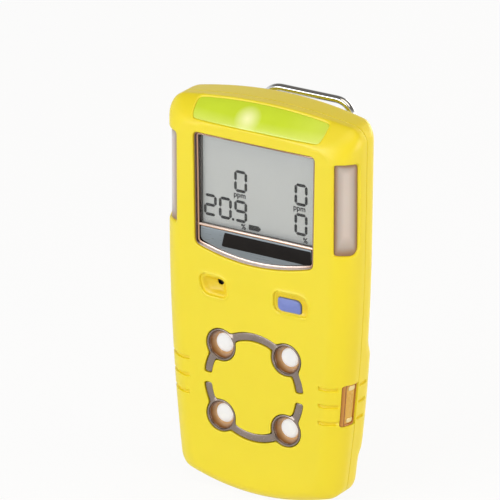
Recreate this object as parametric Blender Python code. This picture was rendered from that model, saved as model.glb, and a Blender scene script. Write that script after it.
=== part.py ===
"""Portable four-gas detector with a spring clip, as separate solids at real size.

Metres, +Z up, the display facing -Y. Pieces are drawn in the body's own frame, where x runs across,
y is the depth behind the middle of the face and z the height above the lowest point. One empty then
puts the origin where the clip grips.
"""

import math

import bmesh
import bpy
from mathutils import Vector

# Clearance between pieces that touch
FIT = 0.0003

# Body outline, seen from the front
BODY_WIDTH = 0.0605
TOP_RIM = 0.0009
SHOULDER_RISE = 0.0065
SIDE_SWEEP = 0.572
TOP_SWEEP = 0.160
BASE_SWEEP = 0.072
TOP_CORNER = 0.0050
BASE_CORNER = 0.0048

# Body section, front to back
FACE_CROWN = 0.0007
SEAM_DEPTH_BASE = 0.0071
SEAM_DEPTH_TOP = 0.0094
BACK_DEPTH_BASE = 0.0172
BACK_DEPTH_TOP = 0.0192
BACK_CROWN = 0.0022
WALL = 0.0020
FACE_EDGE_SIDE = 0.0068
FACE_EDGE_TOP = 0.0065
FACE_EDGE_BASE = 0.0036
BACK_EDGE_SIDE = 0.0060
BACK_EDGE_TOP = 0.0032
BACK_EDGE_BASE = 0.0045
HUMP_RISE = 0.0014
HUMP_LOW = 0.0135
HUMP_DROP = 0.0025
HUMP_RAMP = 0.0040

# Tongue and seal inside the seam
TONGUE_WALL = 0.0008
TONGUE_LENGTH = 0.0003
SHELF_HEIGHT = 0.0012
SEAL_HEIGHT = 0.0005

# Alarm lenses
LENS_WALL = 0.0011
TOP_LENS_RECESS = 0.0005
SIDE_LENS_RECESS = 0.0009
TOP_LENS_RISE = 0.0035
TOP_LENS_TALL = 0.0055
TOP_LENS_DROP = 0.0011
TOP_LENS_LOW_WIDTH = 0.0391
TOP_LENS_HIGH_WIDTH = 0.0412
TOP_LENS_DEPTH = 0.0066
TOP_LENS_CORNER = 0.0010
SIDE_LENS_RISE = 0.0046
SIDE_LENS_DROP = 0.0015
SIDE_LENS_WIDTH = 0.00535
SIDE_LENS_DEPTH_LEFT = 0.0075
SIDE_LENS_DEPTH_RIGHT = 0.0058
SIDE_LENS_CORNER = 0.0022

# Display window and what lies behind it
WINDOW_TALL = 0.0322
WINDOW_RISE = 0.0121
WINDOW_SAG = 0.0030
WINDOW_MARGIN = 0.0110
WINDOW_TAPER = 0.0009
WINDOW_CORNER = 0.0010
FRAME_FRONT = 0.0012
FRAME_DEPTH = 0.0016
FRAME_RIM = 0.0008
LABEL_TALL = 0.0054
BAR_WIDTH = 0.0008
PANE_SETBACK = 0.0004
PANE_THICKNESS = 0.0008
LCD_INSET = 0.0013
LCD_LAP = 0.0011
LCD_OVER = 0.0002
LCD_THICKNESS = 0.0016
BACKLIGHT_THICKNESS = 0.0020
HOLDER_WALL = 0.0008

# Sensor ports, in a square
PORT_SPACING = 0.0208
PORT_RADIUS = 0.0040
TRIM_RADIUS = 0.00466
TRIM_BAND = 0.0022
TRIM_GAP = 0.0031
TRIM_FRONT = 0.0005
TRIM_DEPTH = 0.0019
FILTER_RADIUS = 0.0031
FILTER_THICKNESS = 0.0006
GASKET_SIZE = 0.0330
GASKET_THICKNESS = 0.0006
SENSOR_RADIUS = 0.0084
SENSOR_GAP = 0.0020
SENSOR_NOSE = 0.0046
SENSOR_NOSE_HEIGHT = 0.0009

# Main board
BOARD_DEPTH = 0.0110
BOARD_THICKNESS = 0.0012
BOARD_GAP = 0.0005
BOARD_TOP_GAP = 0.0051
BOARD_SIDE_GAP = 0.0007
BOARD_WAIST_MARGIN = 0.00675
BOARD_WAIST_GAP = 0.0027
BOARD_WAIST_DROP = 0.0042
BOARD_TAB_WIDTH = 0.0330
LED_SIZE = 0.0020
LED_HEIGHT = 0.0016
TOP_LED_SPREAD = 0.0090
TOP_LED_DROP = 0.0019
SIDE_LED_RISE = 0.0130

# Buzzer
BUZZER_RECESS_SHIFT = 0.0021
BUZZER_RECESS_RISE = 0.0008
BUZZER_RECESS_WIDTH = 0.0099
BUZZER_RECESS_TALL = 0.0056
BUZZER_HOLE_X = -0.0107
BUZZER_HOLE_RISE = 0.0023
BUZZER_HOLE_RADIUS = 0.0010
BUZZER_RADIUS = 0.0058
BUZZER_GASKET_RADIUS = 0.0030
BUZZER_GASKET_BORE = 0.0018
RECESS_DEPTH = 0.0008

# Push button and switch
BUTTON_X = 0.0113
BUTTON_RISE = 0.0159
BUTTON_WIDTH = 0.0073
BUTTON_TALL = 0.0038
BUTTON_ROUND = 0.0013
BUTTON_PROUD = 0.0002
BUTTON_TRAVEL = 0.0006
BUTTON_FLANGE = 0.0008
BUTTON_RECESS_SHIFT = 0.0006
BUTTON_RECESS_RISE = 0.0007
BUTTON_RECESS_WIDTH = 0.0115
BUTTON_RECESS_TALL = 0.0058
RECESS_ROUND = 0.0025
GUIDE_WALL = 0.0010
STEM_RADIUS = 0.0012
SWITCH_SIZE = 0.0060
SWITCH_HEIGHT = 0.0034
PLUNGER_RADIUS = 0.0014
PLUNGER_PROUD = 0.0011

# Vibration motor, lying across the base
MOTOR_DEPTH = 0.0070
MOTOR_HEIGHT = 0.0082
MOTOR_RADIUS = 0.0024
MOTOR_LENGTH = 0.0090
MOTOR_X = -0.0030
MOTOR_SHAFT_RADIUS = 0.0005
MOTOR_SHAFT_PROUD = 0.0045
MOTOR_SHAFT_SEAT = 0.0030
WEIGHT_RADIUS = 0.0022
WEIGHT_LENGTH = 0.0030
SLEEVE_WALL = 0.0009
SLEEVE_LENGTH = 0.0050
SLEEVE_FOOT = 0.0036

# Battery and leads
BATTERY_WIDTH = 0.0340
BATTERY_GAP = 0.0005
BATTERY_LENGTH = 0.0340
LEAD_RADIUS = 0.0005
LEAD_X = 0.0090
LEAD_SPREAD = 0.0030
LEAD_DROP = 0.0050
LEAD_BEND = 0.7

# Charging recess in the right side
CHARGE_LOW = 0.0258
CHARGE_TALL = 0.0123
CHARGE_DEPTH = 0.0034
CHARGE_PLATE = 0.0007
CONTACT_SIZE = 0.0016
CONTACT_HEIGHT = 0.0004
CONTACT_SPREAD = 0.0028

# Grip grooves beside the ports
GROOVE_COUNT = 3
GROOVE_DROP = 0.0006
GROOVE_PITCH = 0.0050
GROOVE_WIDTH = 0.0011
GROOVE_DEPTH = 0.0004
GROOVE_START = 0.00975
GROOVE_END = 0.00395
GROOVE_REAR = 0.0036

# Screws and their posts
SCREW_RADIUS = 0.0011
SCREW_HEAD_RADIUS = 0.0021
SCREW_HEAD_HEIGHT = 0.0014
SCREW_SOCKET = 0.0010
SCREW_SOCKET_DEPTH = 0.0008
SCREW_REACH = 0.0040
POST_RADIUS = 0.0023
POST_INSET = 0.00665
POST_TOP_DROP = 0.0081
POST_MIDDLE_DROP = 0.0009
POST_BASE_X = 0.0165
POST_BASE_HEIGHT = 0.0100
BOARD_SCREW_RISE = 0.0035

# Spring clip
PAD_RISE = 0.0003
CLIP_SHEET = 0.0008
EAR_SHEET = 0.0007
CLIP_TALL = 0.0395
GRIP_HEIGHT = 0.0505
HINGE_DROP = 0.0050
PIN_RADIUS = 0.0009
PIN_HEAD = 0.0015
PIN_HEAD_LENGTH = 0.0007
EAR_GAP = 0.00015
SPRING_WIRE = 0.0007
SPRING_RADIUS = 0.0016
SPRING_TURNS = 4
SPRING_PITCH = 0.0013
SPRING_LEG = 0.0048
SPRING_GAP_MIN = 0.0004
JAW_SHEET = 0.0009
JAW_WIDTH = 0.0170
JAW_FLAT_RISE = 0.0145
JAW_NOSE_RISE = 0.0065
JAW_NOSE_BACK = 0.0012
JAW_HEEL = 0.0003
TOOTH_COUNT = 5
TOOTH_DEPTH = 0.0012
LOOP_WIRE = 0.0022
LOOP_WIDTH = 0.0309
LOOP_CORNER = 0.0055
LOOP_RISE = 0.0080
LOOP_TALL = 0.0160
LOOP_LEAN = 0.0012
CLIP_SCREW_RISE = 0.0065
CLIP_BOSS_RADIUS = 0.0028
CLIP_BOSS_HEIGHT = 0.0020

# Facets
EDGE_STEPS = 4
BASE_POINTS = 5
CORNER_POINTS = 4
SIDE_POINTS = 11
SIDE_CROWDING = 1.25
TOP_POINTS = 5
CAP_COLUMNS = 4
ROUND_SIDES = 20
SMALL_SIDES = 12
SPRING_SIDES = 10
TRIM_STEPS = 18

# Share of the way from a round edge (1) to a flat chamfer (2)
SIDE_BEVEL = 1.1
TOP_BEVEL = 1.6
ROUND_BEVEL = 1.0
MIN_EDGE = 0.0006
OVERRUN = 0.0010

# Heights that follow from the sizes above, from the base upwards
PORT_HALF = PORT_SPACING / 2
PORT_HEIGHT = MOTOR_HEIGHT + MOTOR_RADIUS + FIT + SLEEVE_WALL + SENSOR_GAP + SENSOR_RADIUS + PORT_HALF
GROOVE_HEIGHT = PORT_HEIGHT - GROOVE_DROP
CHARGE_HIGH = CHARGE_LOW + CHARGE_TALL
BUTTON_HEIGHT = PORT_HEIGHT + PORT_HALF + BUTTON_RISE
BUTTON_RECESS_HEIGHT = BUTTON_HEIGHT + BUTTON_RECESS_RISE
BUZZER_RECESS_HEIGHT = BUTTON_HEIGHT + BUZZER_RECESS_RISE
BUZZER_HOLE_HEIGHT = BUTTON_HEIGHT + BUZZER_HOLE_RISE
BOARD_SCREW_HEIGHT = BUTTON_HEIGHT + BOARD_SCREW_RISE
WINDOW_CORNER_HEIGHT = BUTTON_HEIGHT + WINDOW_RISE
SHOULDER_HEIGHT = WINDOW_CORNER_HEIGHT + SHOULDER_RISE
BAR_HEIGHT = WINDOW_CORNER_HEIGHT + LABEL_TALL
WINDOW_TOP = WINDOW_CORNER_HEIGHT + WINDOW_TALL
LCD_LOW = BAR_HEIGHT - LCD_LAP
LCD_HIGH = WINDOW_TOP + LCD_OVER
SIDE_LENS_LOW = WINDOW_CORNER_HEIGHT + SIDE_LENS_RISE
SIDE_LENS_HIGH = WINDOW_TOP - SIDE_LENS_DROP
SIDE_LED_HEIGHT = SIDE_LENS_LOW + SIDE_LED_RISE
TOP_LENS_LOW = WINDOW_TOP + TOP_LENS_RISE
TOP_LENS_HIGH = TOP_LENS_LOW + TOP_LENS_TALL
BODY_HEIGHT = TOP_LENS_HIGH + TOP_RIM
POST_MIDDLE_HEIGHT = BUTTON_HEIGHT - POST_MIDDLE_DROP
POST_TOP_HEIGHT = BODY_HEIGHT - POST_TOP_DROP
BOARD_LOW = POST_BASE_HEIGHT + POST_RADIUS + BOARD_GAP
BOARD_WAIST_LOW = POST_MIDDLE_HEIGHT + POST_RADIUS + BOARD_WAIST_GAP
BOARD_WAIST_HIGH = WINDOW_TOP - BOARD_WAIST_DROP
BOARD_HIGH = BODY_HEIGHT - BOARD_TOP_GAP
TOP_LED_HEIGHT = BOARD_HIGH - TOP_LED_DROP
HUMP_HIGH = GRIP_HEIGHT - HUMP_DROP
CLIP_TOP = GRIP_HEIGHT + CLIP_TALL
CLIP_SCREW_HEIGHT = GRIP_HEIGHT + CLIP_SCREW_RISE
CLIP_BOSS_TOP = CLIP_SCREW_HEIGHT + CLIP_BOSS_RADIUS
BOARD_SCREW_TOP = BOARD_SCREW_HEIGHT + SCREW_HEAD_RADIUS
BATTERY_LOW = max(CLIP_BOSS_TOP, BOARD_SCREW_TOP) + BATTERY_GAP
JAW_NOSE_HEIGHT = GRIP_HEIGHT + JAW_NOSE_RISE
JAW_FLAT_LOW = GRIP_HEIGHT + JAW_FLAT_RISE
HINGE_HEIGHT = CLIP_TOP - HINGE_DROP
LOOP_LOW = HINGE_HEIGHT + LOOP_RISE
LOOP_HIGH = LOOP_LOW + LOOP_TALL

# Widths that follow
HALF_WIDTH = BODY_WIDTH / 2
WINDOW_TOP_WIDTH = BODY_WIDTH - 2 * WINDOW_MARGIN
WINDOW_BASE_WIDTH = WINDOW_TOP_WIDTH - WINDOW_TAPER
LCD_WIDTH = WINDOW_TOP_WIDTH - LCD_INSET
SIDE_LENS_INNER = HALF_WIDTH - SIDE_LENS_WIDTH
POST_SIDE = HALF_WIDTH - POST_INSET
BOARD_WIDTH = 2 * (POST_SIDE - POST_RADIUS - BOARD_SIDE_GAP)
BOARD_WAIST_WIDTH = BODY_WIDTH - 2 * BOARD_WAIST_MARGIN
BUZZER_RECESS_X = BUZZER_HOLE_X - BUZZER_RECESS_SHIFT
BUTTON_RECESS_X = BUTTON_X + BUTTON_RECESS_SHIFT
GROOVE_INNER = HALF_WIDTH - GROOVE_START
GROOVE_OUTER = HALF_WIDTH - GROOVE_END
TRIM_CIRCLE = PORT_HALF * math.sqrt(2)
CLIP_WIDTH = JAW_WIDTH + 2 * (2 * FIT + EAR_SHEET)
EAR_INNER = JAW_WIDTH / 2 + FIT

# Depths that follow
RIM = TONGUE_LENGTH + SEAL_HEIGHT + 2 * FIT
FACE_INNER = WALL + FACE_CROWN * (LCD_WIDTH / BODY_WIDTH) ** 2
FRAME_REAR = FRAME_FRONT + FRAME_DEPTH
PANE_FRONT = FRAME_FRONT + PANE_SETBACK
LCD_FRONT = max(FRAME_REAR, FACE_INNER) + FIT
LCD_REAR = LCD_FRONT + LCD_THICKNESS
BACKLIGHT_FRONT = LCD_REAR + FIT
BOARD_REAR = BOARD_DEPTH + BOARD_THICKNESS
BOARD_SEAT = BOARD_DEPTH - FIT
TRIM_REAR = TRIM_FRONT + TRIM_DEPTH
GASKET_FRONT = max(TRIM_REAR, WALL + FACE_CROWN * (GASKET_SIZE / BODY_WIDTH) ** 2) + FIT
SENSOR_FRONT = GASKET_FRONT + GASKET_THICKNESS + FIT
PAD_DEPTH = BACK_DEPTH_TOP + PAD_RISE
CLIP_BACK = PAD_DEPTH + FIT
CLIP_FRONT = CLIP_BACK + CLIP_SHEET
HINGE_DEPTH = CLIP_FRONT + FIT + SPRING_WIRE / 2 + SPRING_RADIUS
EAR_RADIUS = HINGE_DEPTH - CLIP_FRONT - EAR_GAP
JAW_INNER = HINGE_DEPTH + SPRING_RADIUS + SPRING_WIRE / 2 + FIT
JAW_MIDDLE = JAW_INNER + JAW_SHEET / 2
CURL_RADIUS = LOOP_WIRE / 2 + FIT + JAW_SHEET / 2
LOOP_DEPTH = JAW_MIDDLE + JAW_HEEL + CURL_RADIUS

# Axes and places that follow
HINGE = Vector((0, HINGE_DEPTH, HINGE_HEIGHT))
MOTOR_AXIS = Vector((MOTOR_X, MOTOR_DEPTH, MOTOR_HEIGHT))
BUTTON_AXIS = Vector((BUTTON_X, 0, BUTTON_HEIGHT))
POSTS = (
    (-POST_SIDE, POST_TOP_HEIGHT),
    (POST_SIDE, POST_TOP_HEIGHT),
    (-POST_SIDE, POST_MIDDLE_HEIGHT),
    (POST_SIDE, POST_MIDDLE_HEIGHT),
    (-POST_BASE_X, POST_BASE_HEIGHT),
    (POST_BASE_X, POST_BASE_HEIGHT),
)
BOARD_SCREWS = ((0, PORT_HEIGHT), (0, BOARD_SCREW_HEIGHT))
PORTS = [(x * PORT_HALF, PORT_HEIGHT + z * PORT_HALF) for z in (1, -1) for x in (-1, 1)]


def clear_scene():
    """Remove what the file holds."""
    for item in list(bpy.data.objects):
        bpy.data.objects.remove(item, do_unlink=True)


def linear(channel):
    """One sRGB channel as linear light."""
    return channel / 12.92 if channel <= 0.04045 else ((channel + 0.055) / 1.055) ** 2.4


def material(name, colour, roughness, metallic=0.0):
    """A Principled material from an sRGB hex colour, made once."""
    found = bpy.data.materials.get(name)
    if found:
        return found
    made = bpy.data.materials.new(name)
    made.use_nodes = True
    shader = made.node_tree.nodes["Principled BSDF"]
    channels = [linear(int(colour[i:i + 2], 16) / 255) for i in (1, 3, 5)]
    shader.inputs["Base Color"].default_value = (*channels, 1.0)
    shader.inputs["Roughness"].default_value = roughness
    shader.inputs["Metallic"].default_value = metallic
    made.diffuse_color = (*channels, 1.0)
    return made


FINISHES = {
    "yellow": ("moulded_yellow_abs", "#F5E040", 0.40),
    "green": ("clear_green_lens", "#C8DD33", 0.20),
    "frost": ("frosted_clear_lens", "#CDB8A4", 0.35),
    "bronze": ("bronze_chromed_frame", "#8A6A55", 0.20, 0.8),
    "pane": ("clear_display_pane", "#C4C8C4", 0.08),
    "silver": ("silver_label_plate", "#8D959B", 0.35, 0.4),
    "lcd": ("grey_display_glass", "#B9BCB8", 0.25),
    "white": ("white_moulded_plastic", "#E8E6E0", 0.45),
    "taupe": ("taupe_trim_plastic", "#8A7A70", 0.45),
    "filter": ("white_filter_membrane", "#F5F2EE", 0.85),
    "steel": ("polished_stainless_steel", "#C9CBCC", 0.18, 1.0),
    "board": ("green_circuit_board", "#1F5A3A", 0.45),
    "black": ("black_moulded_plastic", "#1C1C1E", 0.45),
    "rubber": ("black_rubber", "#202022", 0.80),
    "blue": ("blue_button_rubber", "#7D88C8", 0.50),
    "brass": ("gilt_contact", "#C9A24A", 0.25, 1.0),
    "amber": ("amber_plastic", "#A8632A", 0.25),
    "battery": ("battery_sleeve", "#3A6EA5", 0.40),
    "red": ("red_lead", "#B02A22", 0.50),
}


def as_object(name, mesh_or_curve, origin=(0, 0, 0)):
    """Link data as an object under the body's empty."""
    made = bpy.data.objects.new(name, mesh_or_curve)
    bpy.context.scene.collection.objects.link(made)
    made.parent = bpy.data.objects["detector"]
    made.location = origin
    return made


def piece(name, bm, finish, origin=(0, 0, 0)):
    """Finish a mesh as a named sub-part, with its origin where it turns or slides."""
    bmesh.ops.recalc_face_normals(bm, faces=bm.faces)
    bmesh.ops.translate(bm, vec=-Vector(origin), verts=bm.verts)
    mesh = bpy.data.meshes.new(name)
    bm.to_mesh(mesh)
    bm.free()
    mesh.shade_smooth()
    mesh.set_sharp_from_angle(angle=math.radians(35))
    mesh.materials.append(material(*FINISHES[finish]))
    return as_object(name, mesh, origin)


def cutter(name, bm, origin=(0, 0, 0)):
    """A helper shape that cuts, or is joined to, a piece and isn't one itself."""
    bmesh.ops.recalc_face_normals(bm, faces=bm.faces)
    bmesh.ops.translate(bm, vec=-Vector(origin), verts=bm.verts)
    mesh = bpy.data.meshes.new(name)
    bm.to_mesh(mesh)
    bm.free()
    made = as_object(name, mesh, origin)
    made.hide_render = True
    made.display_type = "WIRE"
    return made


def boolean(target, tool, operation="DIFFERENCE"):
    """Cut target by tool, or join the two."""
    step = target.modifiers.new(tool.name, "BOOLEAN")
    step.operation = operation
    step.solver = "EXACT"
    step.object = tool


def bridge(bm, rings):
    """Quads between each ring of points and the next."""
    for lower, upper in zip(rings, rings[1:]):
        count = len(lower)
        for i in range(count):
            j = (i + 1) % count
            bm.faces.new((lower[i], lower[j], upper[j], upper[i]))


def prism(bm, points, near, far):
    """A front outline of (x, z) points, extruded from depth near to depth far."""
    rings = [[bm.verts.new((x, y, z)) for x, z in points] for y in (near, far)]
    bridge(bm, rings)
    bm.faces.new(rings[0])
    bm.faces.new(rings[1])


def side_prism(bm, points, left, right):
    """A side outline of (y, z) points, extruded from x left to x right."""
    rings = [[bm.verts.new((x, y, z)) for y, z in points] for x in (left, right)]
    bridge(bm, rings)
    bm.faces.new(rings[0])
    bm.faces.new(rings[1])


def box(bm, low, high):
    """A box between two corners."""
    prism(bm, rectangle(low[0], low[2], high[0], high[2]), low[1], high[1])


def turned(bm, profile, centre, axis="y", sides=ROUND_SIDES, hollow=False):
    """Turn (radius, along) points about an axis through centre; a hollow profile closes on itself."""
    rings = []
    for radius, along in profile:
        ring = []
        for k in range(sides):
            angle = math.tau * k / sides
            across, up = radius * math.cos(angle), radius * math.sin(angle)
            spot = (across, along, up) if axis == "y" else (along, across, up)
            ring.append(bm.verts.new(Vector(centre) + Vector(spot)))
        rings.append(ring)
    if hollow:
        bridge(bm, rings + rings[:1])
    else:
        bridge(bm, rings)
        bm.faces.new(rings[0])
        bm.faces.new(rings[-1])


def arc(centre, radius, start, end, steps):
    """Points on an arc, both ends included, with angles in radians."""
    angles = [start + (end - start) * k / steps for k in range(steps + 1)]
    return [(centre[0] + radius * math.cos(a), centre[1] + radius * math.sin(a)) for a in angles]


def rectangle(left, low, right, high):
    """A plain four-cornered outline."""
    return [(left, low), (right, low), (right, high), (left, high)]


def round_rectangle(middle, width, height, radius, steps=4):
    """An outline with four rounded corners."""
    points = []
    across, up = width / 2 - radius, height / 2 - radius
    for quarter, (x, z) in enumerate(((1, 1), (-1, 1), (-1, -1), (1, -1))):
        start = quarter * math.pi / 2
        corner = (middle[0] + x * across, middle[1] + z * up)
        points += arc(corner, radius, start, start + math.pi / 2, steps)
    return points


def ribbon(path, thickness):
    """The outline of a bent strip that follows a path of (y, z) points."""
    left, right = [], []
    for i, point in enumerate(path):
        before = Vector(path[max(i - 1, 0)])
        after = Vector(path[min(i + 1, len(path) - 1)])
        along = (after - before).normalized()
        away = Vector((-along.y, along.x)) * thickness / 2
        left.append(tuple(Vector(point) + away))
        right.append(tuple(Vector(point) - away))
    return left + right[::-1]


def side_x(z):
    """Half the body's width at a height."""
    drop = max(SHOULDER_HEIGHT - z, 0)
    return HALF_WIDTH - drop ** 2 / (2 * SIDE_SWEEP)


def seam_y(z):
    """Depth of the seam between the shells at a height."""
    return SEAM_DEPTH_BASE + (SEAM_DEPTH_TOP - SEAM_DEPTH_BASE) * z / BODY_HEIGHT


def face_y(x, z):
    """Depth of the crowned face."""
    return FACE_CROWN * (x / HALF_WIDTH) ** 2


def spine_y(z):
    """Depth of the middle of the back without its hump, which comes nearer towards the base."""
    return BACK_DEPTH_BASE + (BACK_DEPTH_TOP - BACK_DEPTH_BASE) * z / BODY_HEIGHT


def back_y(x, z):
    """Depth of the crowned back, with its hump low down."""
    rise = min(max((z - HUMP_LOW) / HUMP_RAMP, 0), 1) - min(max((z - HUMP_HIGH) / HUMP_RAMP + 1, 0), 1)
    return spine_y(z) - BACK_CROWN * (x / HALF_WIDTH) ** 2 + HUMP_RISE * rise


def half_outline(side, top, base, trim):
    """Right half of the outline, bottom to top, with its edges moved in and its corners trimmed."""
    base_centre = Vector((0, BASE_SWEEP))
    base_radius = BASE_SWEEP - base
    corner = max(BASE_CORNER - trim, MIN_EDGE)
    low, high = 0.0, SHOULDER_HEIGHT
    for _ in range(40):
        z = (low + high) / 2
        slope = max(SHOULDER_HEIGHT - z, 0) / SIDE_SWEEP
        touch = Vector((side_x(z) - side, z))
        centre = touch + corner * Vector((-1, slope)).normalized()
        if (centre - base_centre).length > base_radius - corner:
            low = z
        else:
            high = z
    away = centre - base_centre
    start = math.atan2(away.y, away.x)
    turn = math.atan2(touch.y - centre.y, touch.x - centre.x)
    points = arc(base_centre, base_radius, -math.pi / 2, start, BASE_POINTS)
    points += arc(centre, corner, start, turn, CORNER_POINTS)[1:]
    foot = touch.y

    top_centre = Vector((0, BODY_HEIGHT - TOP_SWEEP))
    top_radius = TOP_SWEEP - top
    corner = max(TOP_CORNER - trim, MIN_EDGE)
    across = HALF_WIDTH - side - corner
    centre = Vector((across, top_centre.y + math.sqrt((top_radius - corner) ** 2 - across ** 2)))
    for k in range(1, SIDE_POINTS + 1):
        z = foot + (centre.y - foot) * (k / SIDE_POINTS) ** SIDE_CROWDING
        points.append((side_x(z) - side, z))
    end = math.atan2(centre.y - top_centre.y, across)
    points += arc(centre, corner, 0, end, CORNER_POINTS)[1:]
    points += arc(top_centre, top_radius, end, math.pi / 2, TOP_POINTS)[1:]
    return points


def outline(side, top, base, trim):
    """The closed outline: right half upwards, then its mirror image downwards."""
    half = half_outline(side, top, base, trim)
    half[0] = (0, half[0][1])
    half[-1] = (0, half[-1][1])
    return half + [(-x, z) for x, z in half[-2:0:-1]]


def outward(points):
    """Unit normals of a closed outline."""
    normals = []
    for i, here in enumerate(points):
        before = (Vector(here) - Vector(points[i - 1])).normalized()
        after = (Vector(points[(i + 1) % len(points)]) - Vector(here)).normalized()
        along = (before + after).normalized()
        normals.append(Vector((along.y, -along.x)))
    return normals


def cup(bm, inset, cap, mouth, past, edges, bevels, facing):
    """Closed solid from past the mouth to a rounded cap; inset moves the cap and every side inwards."""
    radii = [max(edge - inset, MIN_EDGE) for edge in edges]
    rings = []
    loop = outline(inset, inset, inset, inset)
    rings.append([bm.verts.new((x, mouth(z) + facing * past, z)) for x, z in loop])
    for step in range(EDGE_STEPS + 1):
        angle = math.pi / 2 * step / EDGE_STEPS
        moved = [inset + r * (1 - math.cos(angle) ** b) for r, b in zip(radii, bevels)]
        left = [1 - math.sin(angle) ** b for b in bevels]
        loop = outline(*moved, inset)
        ring = []
        for (x, z), normal in zip(loop, outward(loop)):
            room = abs(mouth(z) - cap(x, z)) - inset - RIM
            upright = 1 if normal.y > 0 else 2
            depth = min(radii[0], room) * left[0] * normal.x ** 2
            depth += min(radii[upright], room) * left[upright] * normal.y ** 2
            ring.append(bm.verts.new((x, cap(x, z) + facing * (inset + depth), z)))
        rings.append(ring)
    bridge(bm, rings)
    bm.faces.new(rings[0])
    cap_rows(bm, rings[-1], lambda x, z: cap(x, z) + facing * inset)


def cap_rows(bm, ring, depth):
    """Close a ring with rows of quads that follow the crown."""
    top = len(ring) // 2
    rows = [[ring[0]]]
    for i in range(1, top):
        right, left = ring[i], ring[-i]
        row = [left]
        for k in range(1, CAP_COLUMNS):
            x = left.co.x + (right.co.x - left.co.x) * k / CAP_COLUMNS
            row.append(bm.verts.new((x, depth(x, right.co.z), right.co.z)))
        rows.append(row + [right])
    rows.append([ring[top]])
    for lower, upper in zip(rows, rows[1:]):
        for k in range(CAP_COLUMNS):
            corners = [lower[min(k, len(lower) - 1)], lower[min(k + 1, len(lower) - 1)],
                       upper[min(k + 1, len(upper) - 1)], upper[min(k, len(upper) - 1)]]
            bm.faces.new(list(dict.fromkeys(corners)))


def face_cup(inset, past=0):
    """The front shell's solid form, moved in by inset and drawn out past the seam."""
    bm = bmesh.new()
    edges = (FACE_EDGE_SIDE, FACE_EDGE_TOP, FACE_EDGE_BASE)
    cup(bm, inset, face_y, seam_y, past, edges, (SIDE_BEVEL, TOP_BEVEL, SIDE_BEVEL), 1)
    return bm


def back_cup(inset, past=0):
    """The rear shell's solid form, moved in by inset and drawn out past the seam."""
    bm = bmesh.new()
    edges = (BACK_EDGE_SIDE, BACK_EDGE_TOP, BACK_EDGE_BASE)
    cup(bm, inset, back_y, lambda z: seam_y(z) + FIT, past, edges, (ROUND_BEVEL,) * 3, -1)
    return bm


def bevel_y(x, z):
    """How far the bevel along the top edge sets the face back at a place."""
    top = BODY_HEIGHT - TOP_SWEEP + math.sqrt(TOP_SWEEP ** 2 - x ** 2)
    share = min(max(1 - (top - z) / FACE_EDGE_TOP, 0), 1)
    angle = math.acos(share ** (1 / TOP_BEVEL))
    return FACE_EDGE_TOP * (1 - math.sin(angle) ** TOP_BEVEL)


def seam_ring(profile):
    """A ring along the seam from (inset, depth past the seam) points."""
    bm = bmesh.new()
    rings = []
    for inset, depth in profile:
        loop = outline(inset, inset, inset, inset)
        rings.append([bm.verts.new((x, seam_y(z) + depth, z)) for x, z in loop])
    bridge(bm, rings + rings[:1])
    return bm


def window_outline(grow):
    """The display opening: straight sides, rounded top corners and a bowed lower edge."""
    half_base = WINDOW_BASE_WIDTH / 2 + grow
    half_top = WINDOW_TOP_WIDTH / 2 + grow
    low = WINDOW_CORNER_HEIGHT - grow
    high = WINDOW_TOP + grow
    radius = (half_base ** 2 + WINDOW_SAG ** 2) / (2 * WINDOW_SAG)
    middle = (0, low - WINDOW_SAG + radius)
    swing = math.asin(half_base / radius)
    points = arc(middle, radius, -math.pi / 2 - swing, -math.pi / 2 + swing, 8)
    r = WINDOW_CORNER
    points += arc((half_top - r, high - r), r, 0, math.pi / 2, 3)
    points += arc((-half_top + r, high - r), r, math.pi / 2, math.pi, 3)
    return points


def top_lens_outline(grow):
    """The alarm lens over the display: straight below, arched above, flaring upwards."""
    half_low = TOP_LENS_LOW_WIDTH / 2 + grow
    half_high = TOP_LENS_HIGH_WIDTH / 2 + grow
    low, high = TOP_LENS_LOW - grow, TOP_LENS_HIGH + grow
    radius = (half_high ** 2 + TOP_LENS_DROP ** 2) / (2 * TOP_LENS_DROP)
    swing = math.asin((half_high - TOP_LENS_CORNER) / radius)
    upper = arc((0, high - radius), radius, math.pi / 2 - swing, math.pi / 2 + swing, 8)
    ends = high - TOP_LENS_DROP - TOP_LENS_CORNER
    return [(-half_low, low), (half_low, low), (half_high, ends)] + upper + [(-half_high, ends)]


def side_lens_outline(sign, grow):
    """Side view of a side lens, its two outer corners rounded."""
    low, high = SIDE_LENS_LOW - grow, SIDE_LENS_HIGH + grow
    deep = (SIDE_LENS_DEPTH_LEFT if sign < 0 else SIDE_LENS_DEPTH_RIGHT) + grow
    r = SIDE_LENS_CORNER
    points = [(-OVERRUN, low)] + arc((deep - r, low + r), r, -math.pi / 2, 0, 3)
    return points + arc((deep - r, high - r), r, 0, math.pi / 2, 3) + [(-OVERRUN, high)]


def side_lens_block(bm, sign, grow):
    """The corner of the body that a side lens fills."""
    inner, outer = SIDE_LENS_INNER - grow, HALF_WIDTH + OVERRUN
    side_prism(bm, side_lens_outline(sign, grow), sign * inner, sign * outer)


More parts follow.
